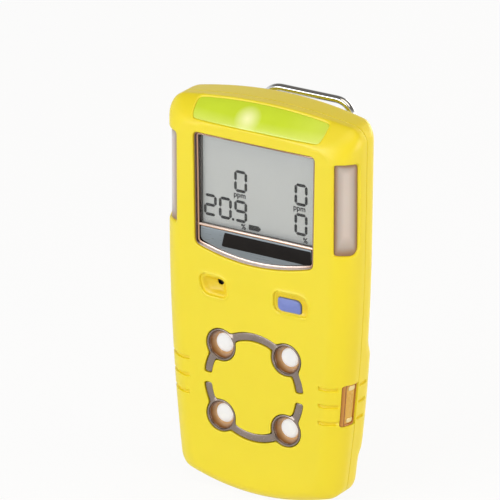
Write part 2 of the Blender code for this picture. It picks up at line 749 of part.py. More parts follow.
def trim_blank(name, sign, grow, near, far):
    """The plan of one sensor trim: an arc with a round pad at each port."""
    half = TRIM_BAND / 2 + grow
    start = math.asin((TRIM_GAP / 2 - grow) / TRIM_CIRCLE)
    middle = (0, PORT_HEIGHT)
    swing = (start, math.pi - start) if sign > 0 else (math.pi + start, math.tau - start)
    band = arc(middle, TRIM_CIRCLE - half, *swing, TRIM_STEPS)
    band += arc(middle, TRIM_CIRCLE + half, *swing[::-1], TRIM_STEPS)
    bm = bmesh.new()
    prism(bm, band, near, far)
    blank = cutter(name, bm)
    bm = bmesh.new()
    for x, z in PORTS:
        if (z > PORT_HEIGHT) == (sign > 0):
            turned(bm, [(TRIM_RADIUS + grow, near), (TRIM_RADIUS + grow, far)], (x, 0, z))
    boolean(blank, cutter(name + "_pads", bm), "UNION")
    return blank


def groove_heights():
    """Heights of the grip grooves."""
    middle = (GROOVE_COUNT - 1) / 2
    return [GROOVE_HEIGHT + (k - middle) * GROOVE_PITCH for k in range(GROOVE_COUNT)]


def make_front_shell():
    """Yellow front half of the case, with its openings, screw posts and board bosses."""
    shell = piece("front_shell", face_cup(0), "yellow")
    core = cutter("front_core", face_cup(WALL, OVERRUN))
    boolean(shell, core)

    bm = bmesh.new()
    for x, z in POSTS:
        near = face_y(x, z) + bevel_y(x, z + POST_RADIUS) + WALL / 2
        turned(bm, [(POST_RADIUS, near), (POST_RADIUS, seam_y(z) - FIT)], (x, 0, z), sides=SMALL_SIDES)
    for x, z in BOARD_SCREWS:
        turned(bm, [(POST_RADIUS, WALL / 2), (POST_RADIUS, BOARD_SEAT)], (x, 0, z), sides=SMALL_SIDES)
    boolean(shell, cutter("front_posts", bm), "UNION")

    bm = bmesh.new()
    prism(bm, window_outline(0), -OVERRUN, LCD_FRONT)
    prism(bm, top_lens_outline(0), -OVERRUN, TOP_LENS_DEPTH)
    for sign in (-1, 1):
        side_lens_block(bm, sign, 0)
    button = round_rectangle((BUTTON_X, BUTTON_HEIGHT), BUTTON_WIDTH + 2 * FIT, BUTTON_TALL + 2 * FIT,
                             BUTTON_ROUND + FIT)
    prism(bm, button, -OVERRUN, WALL + OVERRUN)
    hole = [(BUZZER_HOLE_RADIUS, -OVERRUN), (BUZZER_HOLE_RADIUS, WALL + OVERRUN)]
    turned(bm, hole, (BUZZER_HOLE_X, 0, BUZZER_HOLE_HEIGHT), sides=SMALL_SIDES)
    side = side_x(CHARGE_LOW) - WALL - OVERRUN
    notch = rectangle(CHARGE_DEPTH, CHARGE_LOW, seam_y(CHARGE_HIGH) + OVERRUN, CHARGE_HIGH)
    side_prism(bm, notch, side, HALF_WIDTH + OVERRUN)
    bore = SCREW_RADIUS + FIT
    for x, z in POSTS:
        deep = seam_y(z) - SCREW_REACH - OVERRUN
        turned(bm, [(bore, deep), (bore, seam_y(z) + OVERRUN)], (x, 0, z), sides=SMALL_SIDES)
    for x, z in BOARD_SCREWS:
        deep = BOARD_SEAT - SCREW_REACH - OVERRUN
        turned(bm, [(bore, deep), (bore, BOARD_SEAT + OVERRUN)], (x, 0, z), sides=SMALL_SIDES)
    boolean(shell, cutter("front_openings", bm))

    bm = bmesh.new()
    buzzer = (BUZZER_RECESS_X, BUZZER_RECESS_HEIGHT)
    prism(bm, round_rectangle(buzzer, BUZZER_RECESS_WIDTH, BUZZER_RECESS_TALL, RECESS_ROUND),
          -OVERRUN, face_y(BUZZER_RECESS_X, 0) + RECESS_DEPTH)
    button = (BUTTON_RECESS_X, BUTTON_RECESS_HEIGHT)
    prism(bm, round_rectangle(button, BUTTON_RECESS_WIDTH, BUTTON_RECESS_TALL, RECESS_ROUND),
          -OVERRUN, face_y(BUTTON_RECESS_X, 0) + RECESS_DEPTH)
    boolean(shell, cutter("face_recesses", bm))

    for sign, name in ((1, "upper_trim_cut"), (-1, "lower_trim_cut")):
        boolean(shell, trim_blank(name, sign, FIT, -OVERRUN, WALL + 2 * OVERRUN))

    bm = bmesh.new()
    for z in groove_heights():
        low, high = z - GROOVE_WIDTH / 2, z + GROOVE_WIDTH / 2
        box(bm, (-HALF_WIDTH, -OVERRUN, low), (-GROOVE_INNER, SEAM_DEPTH_TOP, high))
        box(bm, (GROOVE_INNER, -OVERRUN, low), (GROOVE_OUTER, CHARGE_DEPTH - OVERRUN, high))
    grooves = cutter("front_grooves", bm)
    boolean(grooves, cutter("front_groove_floor", face_cup(GROOVE_DEPTH, 3 * OVERRUN)))
    boolean(shell, grooves)


def make_rear_shell():
    """Yellow rear half of the case, with the tongue that enters the front half."""
    shell = piece("rear_shell", back_cup(0), "yellow")
    boolean(shell, cutter("rear_core", back_cup(WALL, OVERRUN)))

    inner = WALL + FIT
    deep = inner + TONGUE_WALL
    high = FIT + OVERRUN
    low = high + SHELF_HEIGHT
    tongue = [(WALL / 2, high), (WALL / 2, low), (deep, low), (deep, -TONGUE_LENGTH),
              (inner, -TONGUE_LENGTH), (inner, high)]
    boolean(shell, cutter("seam_tongue", seam_ring(tongue)), "UNION")

    bm = bmesh.new()
    for x, z in POSTS:
        far = back_y(x, z) - WALL / 2
        turned(bm, [(POST_RADIUS, seam_y(z) + FIT), (POST_RADIUS, far)], (x, 0, z), sides=SMALL_SIDES)
    half = CLIP_WIDTH / 2
    box(bm, (-half, spine_y(GRIP_HEIGHT) - WALL / 2, GRIP_HEIGHT), (half, PAD_DEPTH, CLIP_TOP))
    boolean(shell, cutter("rear_posts", bm), "UNION")
    bm = bmesh.new()
    far = spine_y(CLIP_SCREW_HEIGHT) - WALL / 2
    turned(bm, [(CLIP_BOSS_RADIUS, clip_boss_end()), (CLIP_BOSS_RADIUS, far)], (0, 0, CLIP_SCREW_HEIGHT),
           sides=SMALL_SIDES)
    boolean(shell, cutter("clip_boss", bm), "UNION")

    bm = bmesh.new()
    bore = SCREW_RADIUS + FIT
    for x, z in POSTS:
        seat = case_screw_seat(x, z)
        wide = SCREW_HEAD_RADIUS + FIT
        step = [(bore, seam_y(z) - OVERRUN), (bore, seat), (wide, seat), (wide, PAD_DEPTH + HUMP_RISE)]
        turned(bm, step, (x, 0, z), sides=SMALL_SIDES)
    deep = clip_boss_end() + OVERRUN
    turned(bm, [(bore, deep), (bore, PAD_DEPTH + OVERRUN)], (0, 0, CLIP_SCREW_HEIGHT), sides=SMALL_SIDES)
    boolean(shell, cutter("rear_holes", bm))

    bm = bmesh.new()
    for z in groove_heights():
        low, high = z - GROOVE_WIDTH / 2, z + GROOVE_WIDTH / 2
        near = seam_y(z) + FIT + OVERRUN / 2
        for sign in (-1, 1):
            span = sorted((sign * (HALF_WIDTH + OVERRUN), sign * GROOVE_INNER))
            box(bm, (span[0], near, low), (span[1], near + GROOVE_REAR, high))
    grooves = cutter("rear_grooves", bm)
    boolean(grooves, cutter("rear_groove_floor", back_cup(GROOVE_DEPTH, OVERRUN)))
    boolean(shell, grooves)


def clip_boss_end():
    """Depth at which the boss for the clip's screw ends inside the case."""
    return spine_y(CLIP_SCREW_HEIGHT) - WALL - CLIP_BOSS_HEIGHT


def case_screw_seat(x, z):
    """Depth at which a case screw's head rests in the back."""
    return back_y(x, z) - SCREW_HEAD_HEIGHT - SCREW_SOCKET_DEPTH


def make_housing_seal():
    """Rubber ring between the tongue and the front wall."""
    inner = WALL + FIT
    outer = inner + TONGUE_WALL
    far = -TONGUE_LENGTH - FIT
    near = far - SEAL_HEIGHT
    piece("housing_seal", seam_ring([(inner, near), (outer, near), (outer, far), (inner, far)]), "rubber")


def make_lenses():
    """Green top lens and two frosted side lenses, following the case's rounded edges."""
    bm = bmesh.new()
    prism(bm, top_lens_outline(-FIT), -OVERRUN, TOP_LENS_DEPTH - FIT)
    shape_lenses("top", TOP_LENS_RECESS, [piece("alarm_lens_top", bm, "green")])
    pair = []
    for sign, name in ((-1, "alarm_lens_left"), (1, "alarm_lens_right")):
        bm = bmesh.new()
        side_lens_block(bm, sign, -FIT)
        pair.append(piece(name, bm, "frost"))
    shape_lenses("side", SIDE_LENS_RECESS, pair)


def shape_lenses(name, recess, lenses):
    """Cut lens blocks to a wall that lies a recess below the case's surface."""
    front = cutter(name + "_lens_front", face_cup(recess, OVERRUN))
    rear = cutter(name + "_lens_rear", face_cup(recess + LENS_WALL, 2 * OVERRUN))
    for lens in lenses:
        boolean(lens, front, "INTERSECT")
        boolean(lens, rear)


def pane_openings(shrink):
    """The two openings inside the window frame: the display above the bar, the label below it."""
    inside = [Vector(p) for p in window_outline(-FIT - FRAME_RIM - shrink)]
    upper = [p for p in inside if p.y > BAR_HEIGHT]
    lower = [p for p in inside if p.y < BAR_HEIGHT]
    half_bar = BAR_WIDTH / 2 + shrink
    wide = lower[-1].x
    upper_low = [(-wide, BAR_HEIGHT + half_bar), (wide, BAR_HEIGHT + half_bar)]
    lower_high = [(wide, BAR_HEIGHT - half_bar), (-wide, BAR_HEIGHT - half_bar)]
    return upper_low + [tuple(p) for p in upper], [tuple(p) for p in lower] + lower_high


def make_window():
    """Bronze frame with a bar, the clear pane above it and the bare label plate below."""
    bm = bmesh.new()
    prism(bm, window_outline(-FIT), FRAME_FRONT, FRAME_REAR)
    frame = piece("window_frame", bm, "bronze")
    bm = bmesh.new()
    for points in pane_openings(0):
        prism(bm, points, FRAME_FRONT - OVERRUN, FRAME_REAR + OVERRUN)
    boolean(frame, cutter("frame_openings", bm))
    names = ("display_window", "label_plate")
    for name, points, finish in zip(names, pane_openings(FIT), ("pane", "silver")):
        bm = bmesh.new()
        prism(bm, points, PANE_FRONT, PANE_FRONT + PANE_THICKNESS)
        piece(name, bm, finish)


def make_display():
    """Liquid crystal panel and backlight in a holder that stands on the board."""
    half = LCD_WIDTH / 2
    bm = bmesh.new()
    box(bm, (-half, LCD_FRONT, LCD_LOW), (half, LCD_REAR, LCD_HIGH))
    piece("lcd_panel", bm, "lcd")
    bm = bmesh.new()
    far = BACKLIGHT_FRONT + BACKLIGHT_THICKNESS
    box(bm, (-half, BACKLIGHT_FRONT, LCD_LOW), (half, far, LCD_HIGH))
    piece("lcd_backlight", bm, "white")
    bm = bmesh.new()
    wall = FIT + HOLDER_WALL
    near = LCD_FRONT + LCD_THICKNESS / 2
    box(bm, (-half - wall, near, LCD_LOW - wall), (half + wall, BOARD_SEAT, LCD_HIGH + wall))
    holder = piece("lcd_holder", bm, "white")
    bm = bmesh.new()
    box(bm, (-half - FIT, near - OVERRUN, LCD_LOW - FIT), (half + FIT, far + FIT, LCD_HIGH + FIT))
    boolean(holder, cutter("holder_pocket", bm))
    bm = bmesh.new()
    rim = HOLDER_WALL * 2
    box(bm, (-half + rim, far, LCD_LOW + rim), (half - rim, BOARD_DEPTH + OVERRUN, LCD_HIGH - rim))
    boolean(holder, cutter("holder_opening", bm))


def make_sensor_trims():
    """Two taupe trims, each an arc with two rings round the ports."""
    for sign, name in ((1, "sensor_trim_upper"), (-1, "sensor_trim_lower")):
        trim = trim_blank(name, sign, 0, TRIM_FRONT, TRIM_REAR)
        trim.hide_render = False
        trim.display_type = "TEXTURED"
        trim.data.materials.append(material(*FINISHES["taupe"]))
        bm = bmesh.new()
        for x, z in PORTS:
            turned(bm, [(PORT_RADIUS, -OVERRUN), (PORT_RADIUS, TRIM_REAR + OVERRUN)], (x, 0, z))
        boolean(trim, cutter(name + "_ports", bm))


def make_sensors():
    """Filter discs in a gasket, and the four sensor cells between it and the board."""
    half = GASKET_SIZE / 2
    far = GASKET_FRONT + GASKET_THICKNESS
    bm = bmesh.new()
    box(bm, (-half, GASKET_FRONT, PORT_HEIGHT - half), (half, far, PORT_HEIGHT + half))
    gasket = piece("sensor_gasket", bm, "rubber")
    bm = bmesh.new()
    bore = FILTER_RADIUS + FIT
    for x, z in PORTS:
        turned(bm, [(bore, GASKET_FRONT - OVERRUN), (bore, far + OVERRUN)], (x, 0, z))
    boss = POST_RADIUS + FIT
    turned(bm, [(boss, GASKET_FRONT - OVERRUN), (boss, far + OVERRUN)], (0, 0, PORT_HEIGHT))
    boolean(gasket, cutter("gasket_holes", bm))
    for number, (x, z) in enumerate(PORTS, 1):
        bm = bmesh.new()
        disc = [(FILTER_RADIUS, far - FILTER_THICKNESS), (FILTER_RADIUS, far)]
        turned(bm, disc, (x, 0, z))
        piece(f"sensor_filter_{number}", bm, "filter")
        bm = bmesh.new()
        shoulder = SENSOR_FRONT + SENSOR_NOSE_HEIGHT
        cell = [(SENSOR_NOSE, SENSOR_FRONT), (SENSOR_NOSE, shoulder), (SENSOR_RADIUS, shoulder),
                (SENSOR_RADIUS, BOARD_SEAT)]
        turned(bm, cell, (x, 0, z))
        piece(f"gas_sensor_{number}", bm, "white")


def board_outline():
    """The board: narrow beside the posts, wider at the display and a tab at the top."""
    half, waist, tab = BOARD_WIDTH / 2, BOARD_WAIST_WIDTH / 2, BOARD_TAB_WIDTH / 2
    right = [(half, BOARD_LOW), (half, BOARD_WAIST_LOW), (waist, BOARD_WAIST_LOW), (waist, BOARD_WAIST_HIGH),
             (tab, BOARD_WAIST_HIGH), (tab, BOARD_HIGH)]
    return right + [(-x, z) for x, z in reversed(right)]


def make_board():
    """Circuit board with its alarm lamps."""
    bm = bmesh.new()
    prism(bm, board_outline(), BOARD_DEPTH, BOARD_REAR)
    board = piece("main_board", bm, "board")
    bm = bmesh.new()
    bore = SCREW_RADIUS + FIT
    for x, z in BOARD_SCREWS:
        hole = [(bore, BOARD_DEPTH - OVERRUN), (bore, BOARD_REAR + OVERRUN)]
        turned(bm, hole, (x, 0, z), sides=SMALL_SIDES)
    boolean(board, cutter("board_holes", bm))
    side = (BOARD_WAIST_WIDTH - LED_SIZE) / 2
    lamps = {
        "alarm_led_top_left": (-TOP_LED_SPREAD, TOP_LED_HEIGHT),
        "alarm_led_top_right": (TOP_LED_SPREAD, TOP_LED_HEIGHT),
        "alarm_led_left": (-side, SIDE_LED_HEIGHT),
        "alarm_led_right": (side, SIDE_LED_HEIGHT),
    }
    half = LED_SIZE / 2
    for name, (x, z) in lamps.items():
        bm = bmesh.new()
        box(bm, (x - half, BOARD_SEAT - LED_HEIGHT, z - half), (x + half, BOARD_SEAT, z + half))
        piece(name, bm, "white")


def make_buzzer():
    """Sounder on the board, sealed to the case by a gasket round the sound hole."""
    centre = (BUZZER_HOLE_X, 0, BUZZER_HOLE_HEIGHT)
    near = WALL + face_y(BUZZER_HOLE_X - BUZZER_RADIUS, 0) + FIT
    far = near + GASKET_THICKNESS
    bm = bmesh.new()
    ring = [(BUZZER_GASKET_BORE, near), (BUZZER_GASKET_RADIUS, near), (BUZZER_GASKET_RADIUS, far),
            (BUZZER_GASKET_BORE, far)]
    turned(bm, ring, centre, hollow=True)
    piece("buzzer_gasket", bm, "rubber")
    bm = bmesh.new()
    top = far + FIT
    port = BUZZER_HOLE_RADIUS
    can = [(port, top + OVERRUN), (port, top), (BUZZER_RADIUS, top), (BUZZER_RADIUS, BOARD_SEAT)]
    turned(bm, can, centre)
    piece("buzzer", bm, "black")


def make_button():
    """Blue push button in its guide, over a switch on the board."""
    middle = (BUTTON_X, BUTTON_HEIGHT)
    flange = WALL + face_y(BUTTON_X + BUTTON_WIDTH / 2 + BUTTON_FLANGE + GUIDE_WALL, 0) + FIT
    back = flange + BUTTON_FLANGE
    switch_top = BOARD_SEAT - SWITCH_HEIGHT
    plunger_top = switch_top - PLUNGER_PROUD
    wide, tall = BUTTON_WIDTH + 2 * BUTTON_FLANGE, BUTTON_TALL + 2 * BUTTON_FLANGE

    bm = bmesh.new()
    near = face_y(BUTTON_X, 0) - BUTTON_PROUD
    cap = round_rectangle(middle, BUTTON_WIDTH, BUTTON_TALL, BUTTON_ROUND)
    prism(bm, cap, near, flange + BUTTON_FLANGE / 2)
    button = piece("push_button", bm, "blue", BUTTON_AXIS)
    bm = bmesh.new()
    prism(bm, round_rectangle(middle, wide, tall, BUTTON_ROUND + BUTTON_FLANGE), flange, back)
    boolean(button, cutter("button_flange", bm), "UNION")
    bm = bmesh.new()
    stem = [(STEM_RADIUS, back - BUTTON_FLANGE / 2), (STEM_RADIUS, plunger_top - FIT)]
    turned(bm, stem, BUTTON_AXIS, sides=SMALL_SIDES)
    boolean(button, cutter("button_stem", bm), "UNION")

    bm = bmesh.new()
    hole = round_rectangle(middle, wide + 2 * FIT, tall + 2 * FIT, BUTTON_ROUND + BUTTON_FLANGE + FIT)
    grow = 2 * (FIT + GUIDE_WALL)
    ring = round_rectangle(middle, wide + grow, tall + grow, BUTTON_ROUND + BUTTON_FLANGE + FIT + GUIDE_WALL)
    far = back + BUTTON_TRAVEL
    corners = [(ring, flange), (ring, far), (hole, far), (hole, flange)]
    rings = [[bm.verts.new((x, y, z)) for x, z in points] for points, y in corners]
    bridge(bm, rings + rings[:1])
    piece("button_guide", bm, "rubber")

    bm = bmesh.new()
    half = SWITCH_SIZE / 2
    low = (BUTTON_X - half, switch_top, BUTTON_HEIGHT - half)
    box(bm, low, (BUTTON_X + half, BOARD_SEAT, BUTTON_HEIGHT + half))
    switch = piece("key_switch", bm, "black")
    bm = bmesh.new()
    bore = PLUNGER_RADIUS + FIT
    floor = BOARD_SEAT - OVERRUN / 2
    turned(bm, [(bore, switch_top - OVERRUN), (bore, floor)], BUTTON_AXIS, sides=SMALL_SIDES)
    boolean(switch, cutter("plunger_bore", bm))
    bm = bmesh.new()
    rod = [(PLUNGER_RADIUS, plunger_top), (PLUNGER_RADIUS, floor - BUTTON_TRAVEL - FIT)]
    turned(bm, rod, BUTTON_AXIS, sides=SMALL_SIDES)
    piece("switch_plunger", bm, "white", BUTTON_AXIS)


def make_motor():
    """Vibration motor in a rubber sleeve, with a weight hanging off its shaft."""
    half = MOTOR_LENGTH / 2
    seat = half - MOTOR_SHAFT_SEAT
    bm = bmesh.new()
    bore = MOTOR_SHAFT_RADIUS + FIT
    can = [(MOTOR_RADIUS, -half), (MOTOR_RADIUS, half), (bore, half), (bore, seat)]
    turned(bm, can, MOTOR_AXIS, "x", SMALL_SIDES)
    piece("vibration_motor", bm, "steel")
    bm = bmesh.new()
    tip = half + MOTOR_SHAFT_PROUD
    rod = [(MOTOR_SHAFT_RADIUS, seat + FIT), (MOTOR_SHAFT_RADIUS, tip)]
    turned(bm, rod, MOTOR_AXIS, "x", SMALL_SIDES)
    piece("motor_shaft", bm, "steel", MOTOR_AXIS)

    bm = bmesh.new()
    sector = arc((MOTOR_DEPTH, MOTOR_HEIGHT), WEIGHT_RADIUS, math.pi, math.tau, 8)
    collar = 2 * MOTOR_SHAFT_RADIUS + FIT
    sector += arc((MOTOR_DEPTH, MOTOR_HEIGHT), collar, 0, math.pi, 4)
    near = MOTOR_X + tip - WEIGHT_LENGTH - FIT
    side_prism(bm, sector, near, near + WEIGHT_LENGTH)
    weight = piece("eccentric_weight", bm, "brass", MOTOR_AXIS)
    bm = bmesh.new()
    turned(bm, [(bore, tip - WEIGHT_LENGTH - OVERRUN), (bore, tip + OVERRUN)], MOTOR_AXIS, "x", SMALL_SIDES)
    boolean(weight, cutter("weight_bore", bm))

    bm = bmesh.new()
    outer = MOTOR_RADIUS + FIT + SLEEVE_WALL
    reach = SLEEVE_LENGTH / 2
    turned(bm, [(outer, -reach), (outer, reach)], MOTOR_AXIS, "x", SMALL_SIDES)
    sleeve = piece("motor_sleeve", bm, "rubber")
    bm = bmesh.new()
    foot = SLEEVE_FOOT / 2
    face = WALL + face_y(abs(MOTOR_X) + reach, 0) + FIT
    low = (MOTOR_X - reach + FIT, face, MOTOR_HEIGHT - foot + FIT)
    box(bm, low, (MOTOR_X + reach - FIT, MOTOR_DEPTH - MOTOR_RADIUS / 2, MOTOR_HEIGHT + foot))
    boolean(sleeve, cutter("sleeve_foot", bm), "UNION")
    bm = bmesh.new()
    inner = MOTOR_RADIUS + FIT
    turned(bm, [(inner, -half), (inner, half)], MOTOR_AXIS, "x", SMALL_SIDES)
    boolean(sleeve, cutter("sleeve_bore", bm))


def wire(name, points, diameter, finish, closed=False, origin=(0, 0, 0), resolution=2):
    """A round wire along points, with filled ends."""
    curve = bpy.data.curves.new(name, "CURVE")
    curve.dimensions = "3D"
    curve.bevel_depth = diameter / 2
    curve.bevel_resolution = resolution
    curve.use_fill_caps = True
    spline = curve.splines.new("POLY")
    spline.points.add(len(points) - 1)
    for spot, point in zip(spline.points, points):
        spot.co = (*(Vector(point) - Vector(origin)), 1)
    spline.use_cyclic_u = closed
    curve.materials.append(material(*FINISHES[finish]))
    return as_object(name, curve, origin)


def make_battery():
    """Flat lithium pack behind the board, with its two leads."""
    half = BATTERY_WIDTH / 2
    near = BOARD_REAR + FIT
    far = back_y(BATTERY_WIDTH / 2, BATTERY_LOW) - WALL - FIT
    bm = bmesh.new()
    outline_points = round_rectangle(((near + far) / 2, BATTERY_LOW + BATTERY_LENGTH / 2), far - near,
                                     BATTERY_LENGTH, (far - near) / 4, 2)
    side_prism(bm, outline_points, -half, half)
    piece("battery_pack", bm, "battery")
    middle = (near + far) / 2
    end = BOARD_REAR + FIT
    reach = middle - end
    for name, x, finish in (("battery_lead_positive", LEAD_X, "red"),
                            ("battery_lead_negative", LEAD_X + LEAD_SPREAD, "black")):
        top = BATTERY_LOW - FIT
        bend = min(reach, LEAD_DROP) * LEAD_BEND
        points = [(x, middle, top)]
        points += [(x, *p) for p in arc((middle - bend, top - LEAD_DROP + bend), bend, 0, -math.pi / 2, 4)]
        points.append((x, end, top - LEAD_DROP))
        wire(name, points, 2 * LEAD_RADIUS, finish)


def make_charge_port():
    """Amber plate and two gilt contacts in the side recess, following the slope of the side."""
    low, high = CHARGE_LOW + FIT, CHARGE_HIGH - FIT
    near = CHARGE_DEPTH + FIT
    far = seam_y(low) - FIT
    bm = bmesh.new()
    inner = [(side_x(z) - WALL, z) for z in (low, (low + high) / 2, high)]
    prism(bm, inner + [(x + CHARGE_PLATE, z) for x, z in reversed(inner)], near, far)
    piece("charge_port", bm, "amber")
    across = (near + far) / 2
    half = CONTACT_SIZE / 2
    for number, sign in enumerate((1, -1), 1):
        z = (low + high) / 2 + sign * CONTACT_SPREAD
        seat = side_x(z + half) - WALL + CHARGE_PLATE + FIT
        bm = bmesh.new()
        side_prism(bm, round_rectangle((across, z), CONTACT_SIZE, CONTACT_SIZE, half / 2, 2), seat,
                   seat + CONTACT_HEIGHT)
        piece(f"charge_contact_{number}", bm, "brass")


def screw(name, x, z, seat, reach):
    """A socket screw along the depth: head behind its seat, shank in front of it."""
    bm = bmesh.new()
    top = seat + FIT
    socket = top + SCREW_HEAD_HEIGHT
    floor = socket - SCREW_SOCKET_DEPTH
    profile = [(SCREW_RADIUS, top - reach), (SCREW_RADIUS, top), (SCREW_HEAD_RADIUS, top),
               (SCREW_HEAD_RADIUS, socket), (SCREW_SOCKET, socket), (SCREW_SOCKET, floor)]
    turned(bm, profile, (x, 0, z), sides=SMALL_SIDES)
    piece(name, bm, "steel")


def make_screws():
    """Six case screws, two board screws and the clip's screw."""
    for number, (x, z) in enumerate(POSTS, 1):
        seat = case_screw_seat(x, z)
        screw(f"case_screw_{number}", x, z, seat, seat - seam_y(z) + SCREW_REACH)
    for number, (x, z) in enumerate(BOARD_SCREWS, 1):
        screw(f"board_screw_{number}", x, z, BOARD_REAR, BOARD_THICKNESS + SCREW_REACH)
    bm = bmesh.new()
    tip = clip_boss_end() + OVERRUN + FIT
    neck, flush = CLIP_BACK - FIT, CLIP_FRONT - FIT / 3
    profile = [(SCREW_RADIUS, tip), (SCREW_RADIUS, neck), (SCREW_HEAD_RADIUS, flush)]
    turned(bm, profile, (0, 0, CLIP_SCREW_HEIGHT), sides=SMALL_SIDES)
    piece("clip_screw", bm, "steel")


def make_clip_base():
    """Steel plate on the back, with two ears that carry the hinge pin."""
    half = CLIP_WIDTH / 2
    bm = bmesh.new()
    middle = (0, (GRIP_HEIGHT + CLIP_TOP) / 2)
    plate = round_rectangle(middle, CLIP_WIDTH, CLIP_TOP - GRIP_HEIGHT, JAW_SHEET, 3)
    prism(bm, plate, CLIP_BACK, CLIP_FRONT)
    base = piece("clip_base", bm, "steel")
    bm = bmesh.new()
    ear = [(CLIP_FRONT - CLIP_SHEET / 2, HINGE_HEIGHT - 2 * EAR_RADIUS)]
    ear += arc((HINGE_DEPTH, HINGE_HEIGHT), EAR_RADIUS, -math.pi / 2, math.pi / 2, 8)
    ear += [(CLIP_FRONT - CLIP_SHEET / 2, HINGE_HEIGHT + 2 * EAR_RADIUS)]
    for sign in (-1, 1):
        side_prism(bm, ear, sign * EAR_INNER, sign * (half - FIT))
    boolean(base, cutter("base_ears", bm), "UNION")
    bm = bmesh.new()
    bore = PIN_RADIUS + FIT
    turned(bm, [(bore, -CLIP_WIDTH), (bore, CLIP_WIDTH)], HINGE, "x", SMALL_SIDES)
    sink = [(SCREW_RADIUS + FIT, CLIP_BACK - OVERRUN), (SCREW_RADIUS + FIT, CLIP_BACK),
            (SCREW_HEAD_RADIUS + FIT, CLIP_FRONT), (SCREW_HEAD_RADIUS + FIT, CLIP_FRONT + OVERRUN)]
    turned(bm, sink, (0, 0, CLIP_SCREW_HEIGHT), sides=SMALL_SIDES)
    boolean(base, cutter("base_holes", bm))


def jaw_path():
    """Side view of the jaw's middle line, from its teeth up to the curl that holds the loop."""
    tip = CLIP_FRONT + FIT + JAW_SHEET / 2
    path = [(tip, GRIP_HEIGHT + JAW_SHEET), (JAW_MIDDLE - JAW_NOSE_BACK, JAW_NOSE_HEIGHT)]
    path += [(JAW_MIDDLE - JAW_NOSE_BACK / 4, (JAW_NOSE_HEIGHT + JAW_FLAT_LOW) / 2)]
    path += [(JAW_MIDDLE, JAW_FLAT_LOW), (JAW_MIDDLE, HINGE_HEIGHT)]
    return path + arc((LOOP_DEPTH, LOOP_LOW), CURL_RADIUS, math.pi, -math.pi / 3, 9)


def make_clip_jaw():
    """Sprung steel jaw with teeth, two ears on the pin and a curl round the thumb loop."""
    half = JAW_WIDTH / 2
    bm = bmesh.new()
    side_prism(bm, ribbon(jaw_path(), JAW_SHEET), -half, half)
    jaw = piece("clip_jaw", bm, "steel", HINGE)
    bm = bmesh.new()
    ear = arc((HINGE_DEPTH, HINGE_HEIGHT), EAR_RADIUS, math.pi / 2, 3 * math.pi / 2, 8)
    ear += [(JAW_MIDDLE, HINGE_HEIGHT - EAR_RADIUS), (JAW_MIDDLE, HINGE_HEIGHT + EAR_RADIUS)]
    for sign in (-1, 1):
        side_prism(bm, ear, sign * (half - FIT), sign * (half - FIT - JAW_SHEET))
    boolean(jaw, cutter("jaw_ears", bm, HINGE), "UNION")
    bm = bmesh.new()
    bore = PIN_RADIUS + FIT
    turned(bm, [(bore, -CLIP_WIDTH), (bore, CLIP_WIDTH)], HINGE, "x", SMALL_SIDES)
    pitch = JAW_WIDTH / TOOTH_COUNT
    for k in range(TOOTH_COUNT):
        x = (k - (TOOTH_COUNT - 1) / 2) * pitch
        notch = [(x - pitch / 3, GRIP_HEIGHT - OVERRUN), (x + pitch / 3, GRIP_HEIGHT - OVERRUN),
                 (x, GRIP_HEIGHT + JAW_SHEET / 2 + TOOTH_DEPTH)]
        prism(bm, notch, CLIP_FRONT - OVERRUN, JAW_MIDDLE)
    boolean(jaw, cutter("jaw_cuts", bm, HINGE))


def make_clip_pin():
    """Headed pin through the ears."""
    half = CLIP_WIDTH / 2 + FIT
    end = half + PIN_HEAD_LENGTH
    bm = bmesh.new()
    profile = [(PIN_HEAD, -end), (PIN_HEAD, -half), (PIN_RADIUS, -half), (PIN_RADIUS, half),
               (PIN_HEAD, half), (PIN_HEAD, end)]
    turned(bm, profile, HINGE, "x", SMALL_SIDES)
    piece("clip_pin", bm, "steel")


def make_clip_spring():
    """Torsion spring round the pin; one leg bears on the base, the other on the jaw."""
    per_turn = SPRING_SIDES
    steps = per_turn * SPRING_TURNS + per_turn // 2
    width = SPRING_PITCH * steps / per_turn
    path = [(-width / 2, HINGE_DEPTH - SPRING_RADIUS, HINGE_HEIGHT + SPRING_LEG)]
    for k in range(steps + 1):
        angle = math.pi + math.tau * k / per_turn
        path.append((-width / 2 + width * k / steps, HINGE_DEPTH + SPRING_RADIUS * math.cos(angle),
                     HINGE_HEIGHT + SPRING_RADIUS * math.sin(angle)))
    path.append((width / 2, HINGE_DEPTH + SPRING_RADIUS, HINGE_HEIGHT + SPRING_LEG))
    wire("clip_spring", path, SPRING_WIRE, "steel", resolution=1)
    coil = [Vector(p) for p in path[1:-1]]
    apart = [(a - b).length for i, a in enumerate(coil) for b in coil[i + per_turn // 2:]]
    gap = min(apart) - SPRING_WIRE
    wanted = SPRING_GAP_MIN * 1000
    print(f"clip spring least gap to itself: {gap * 1000:.2f} mm, at least {wanted:.1f} mm wanted")


def make_thumb_loop():
    """Polished wire loop in the jaw's curl, pressed to open the clip."""
    half = (LOOP_WIDTH - LOOP_WIRE) / 2
    height = LOOP_HIGH - LOOP_LOW
    flat = round_rectangle((0, LOOP_LOW + height / 2), 2 * half, height, LOOP_CORNER, 5)
    points = [(x, LOOP_DEPTH + LOOP_LEAN * (z - LOOP_LOW) / height, z) for x, z in flat]
    wire("thumb_loop", points, LOOP_WIRE, "steel", closed=True, origin=HINGE)


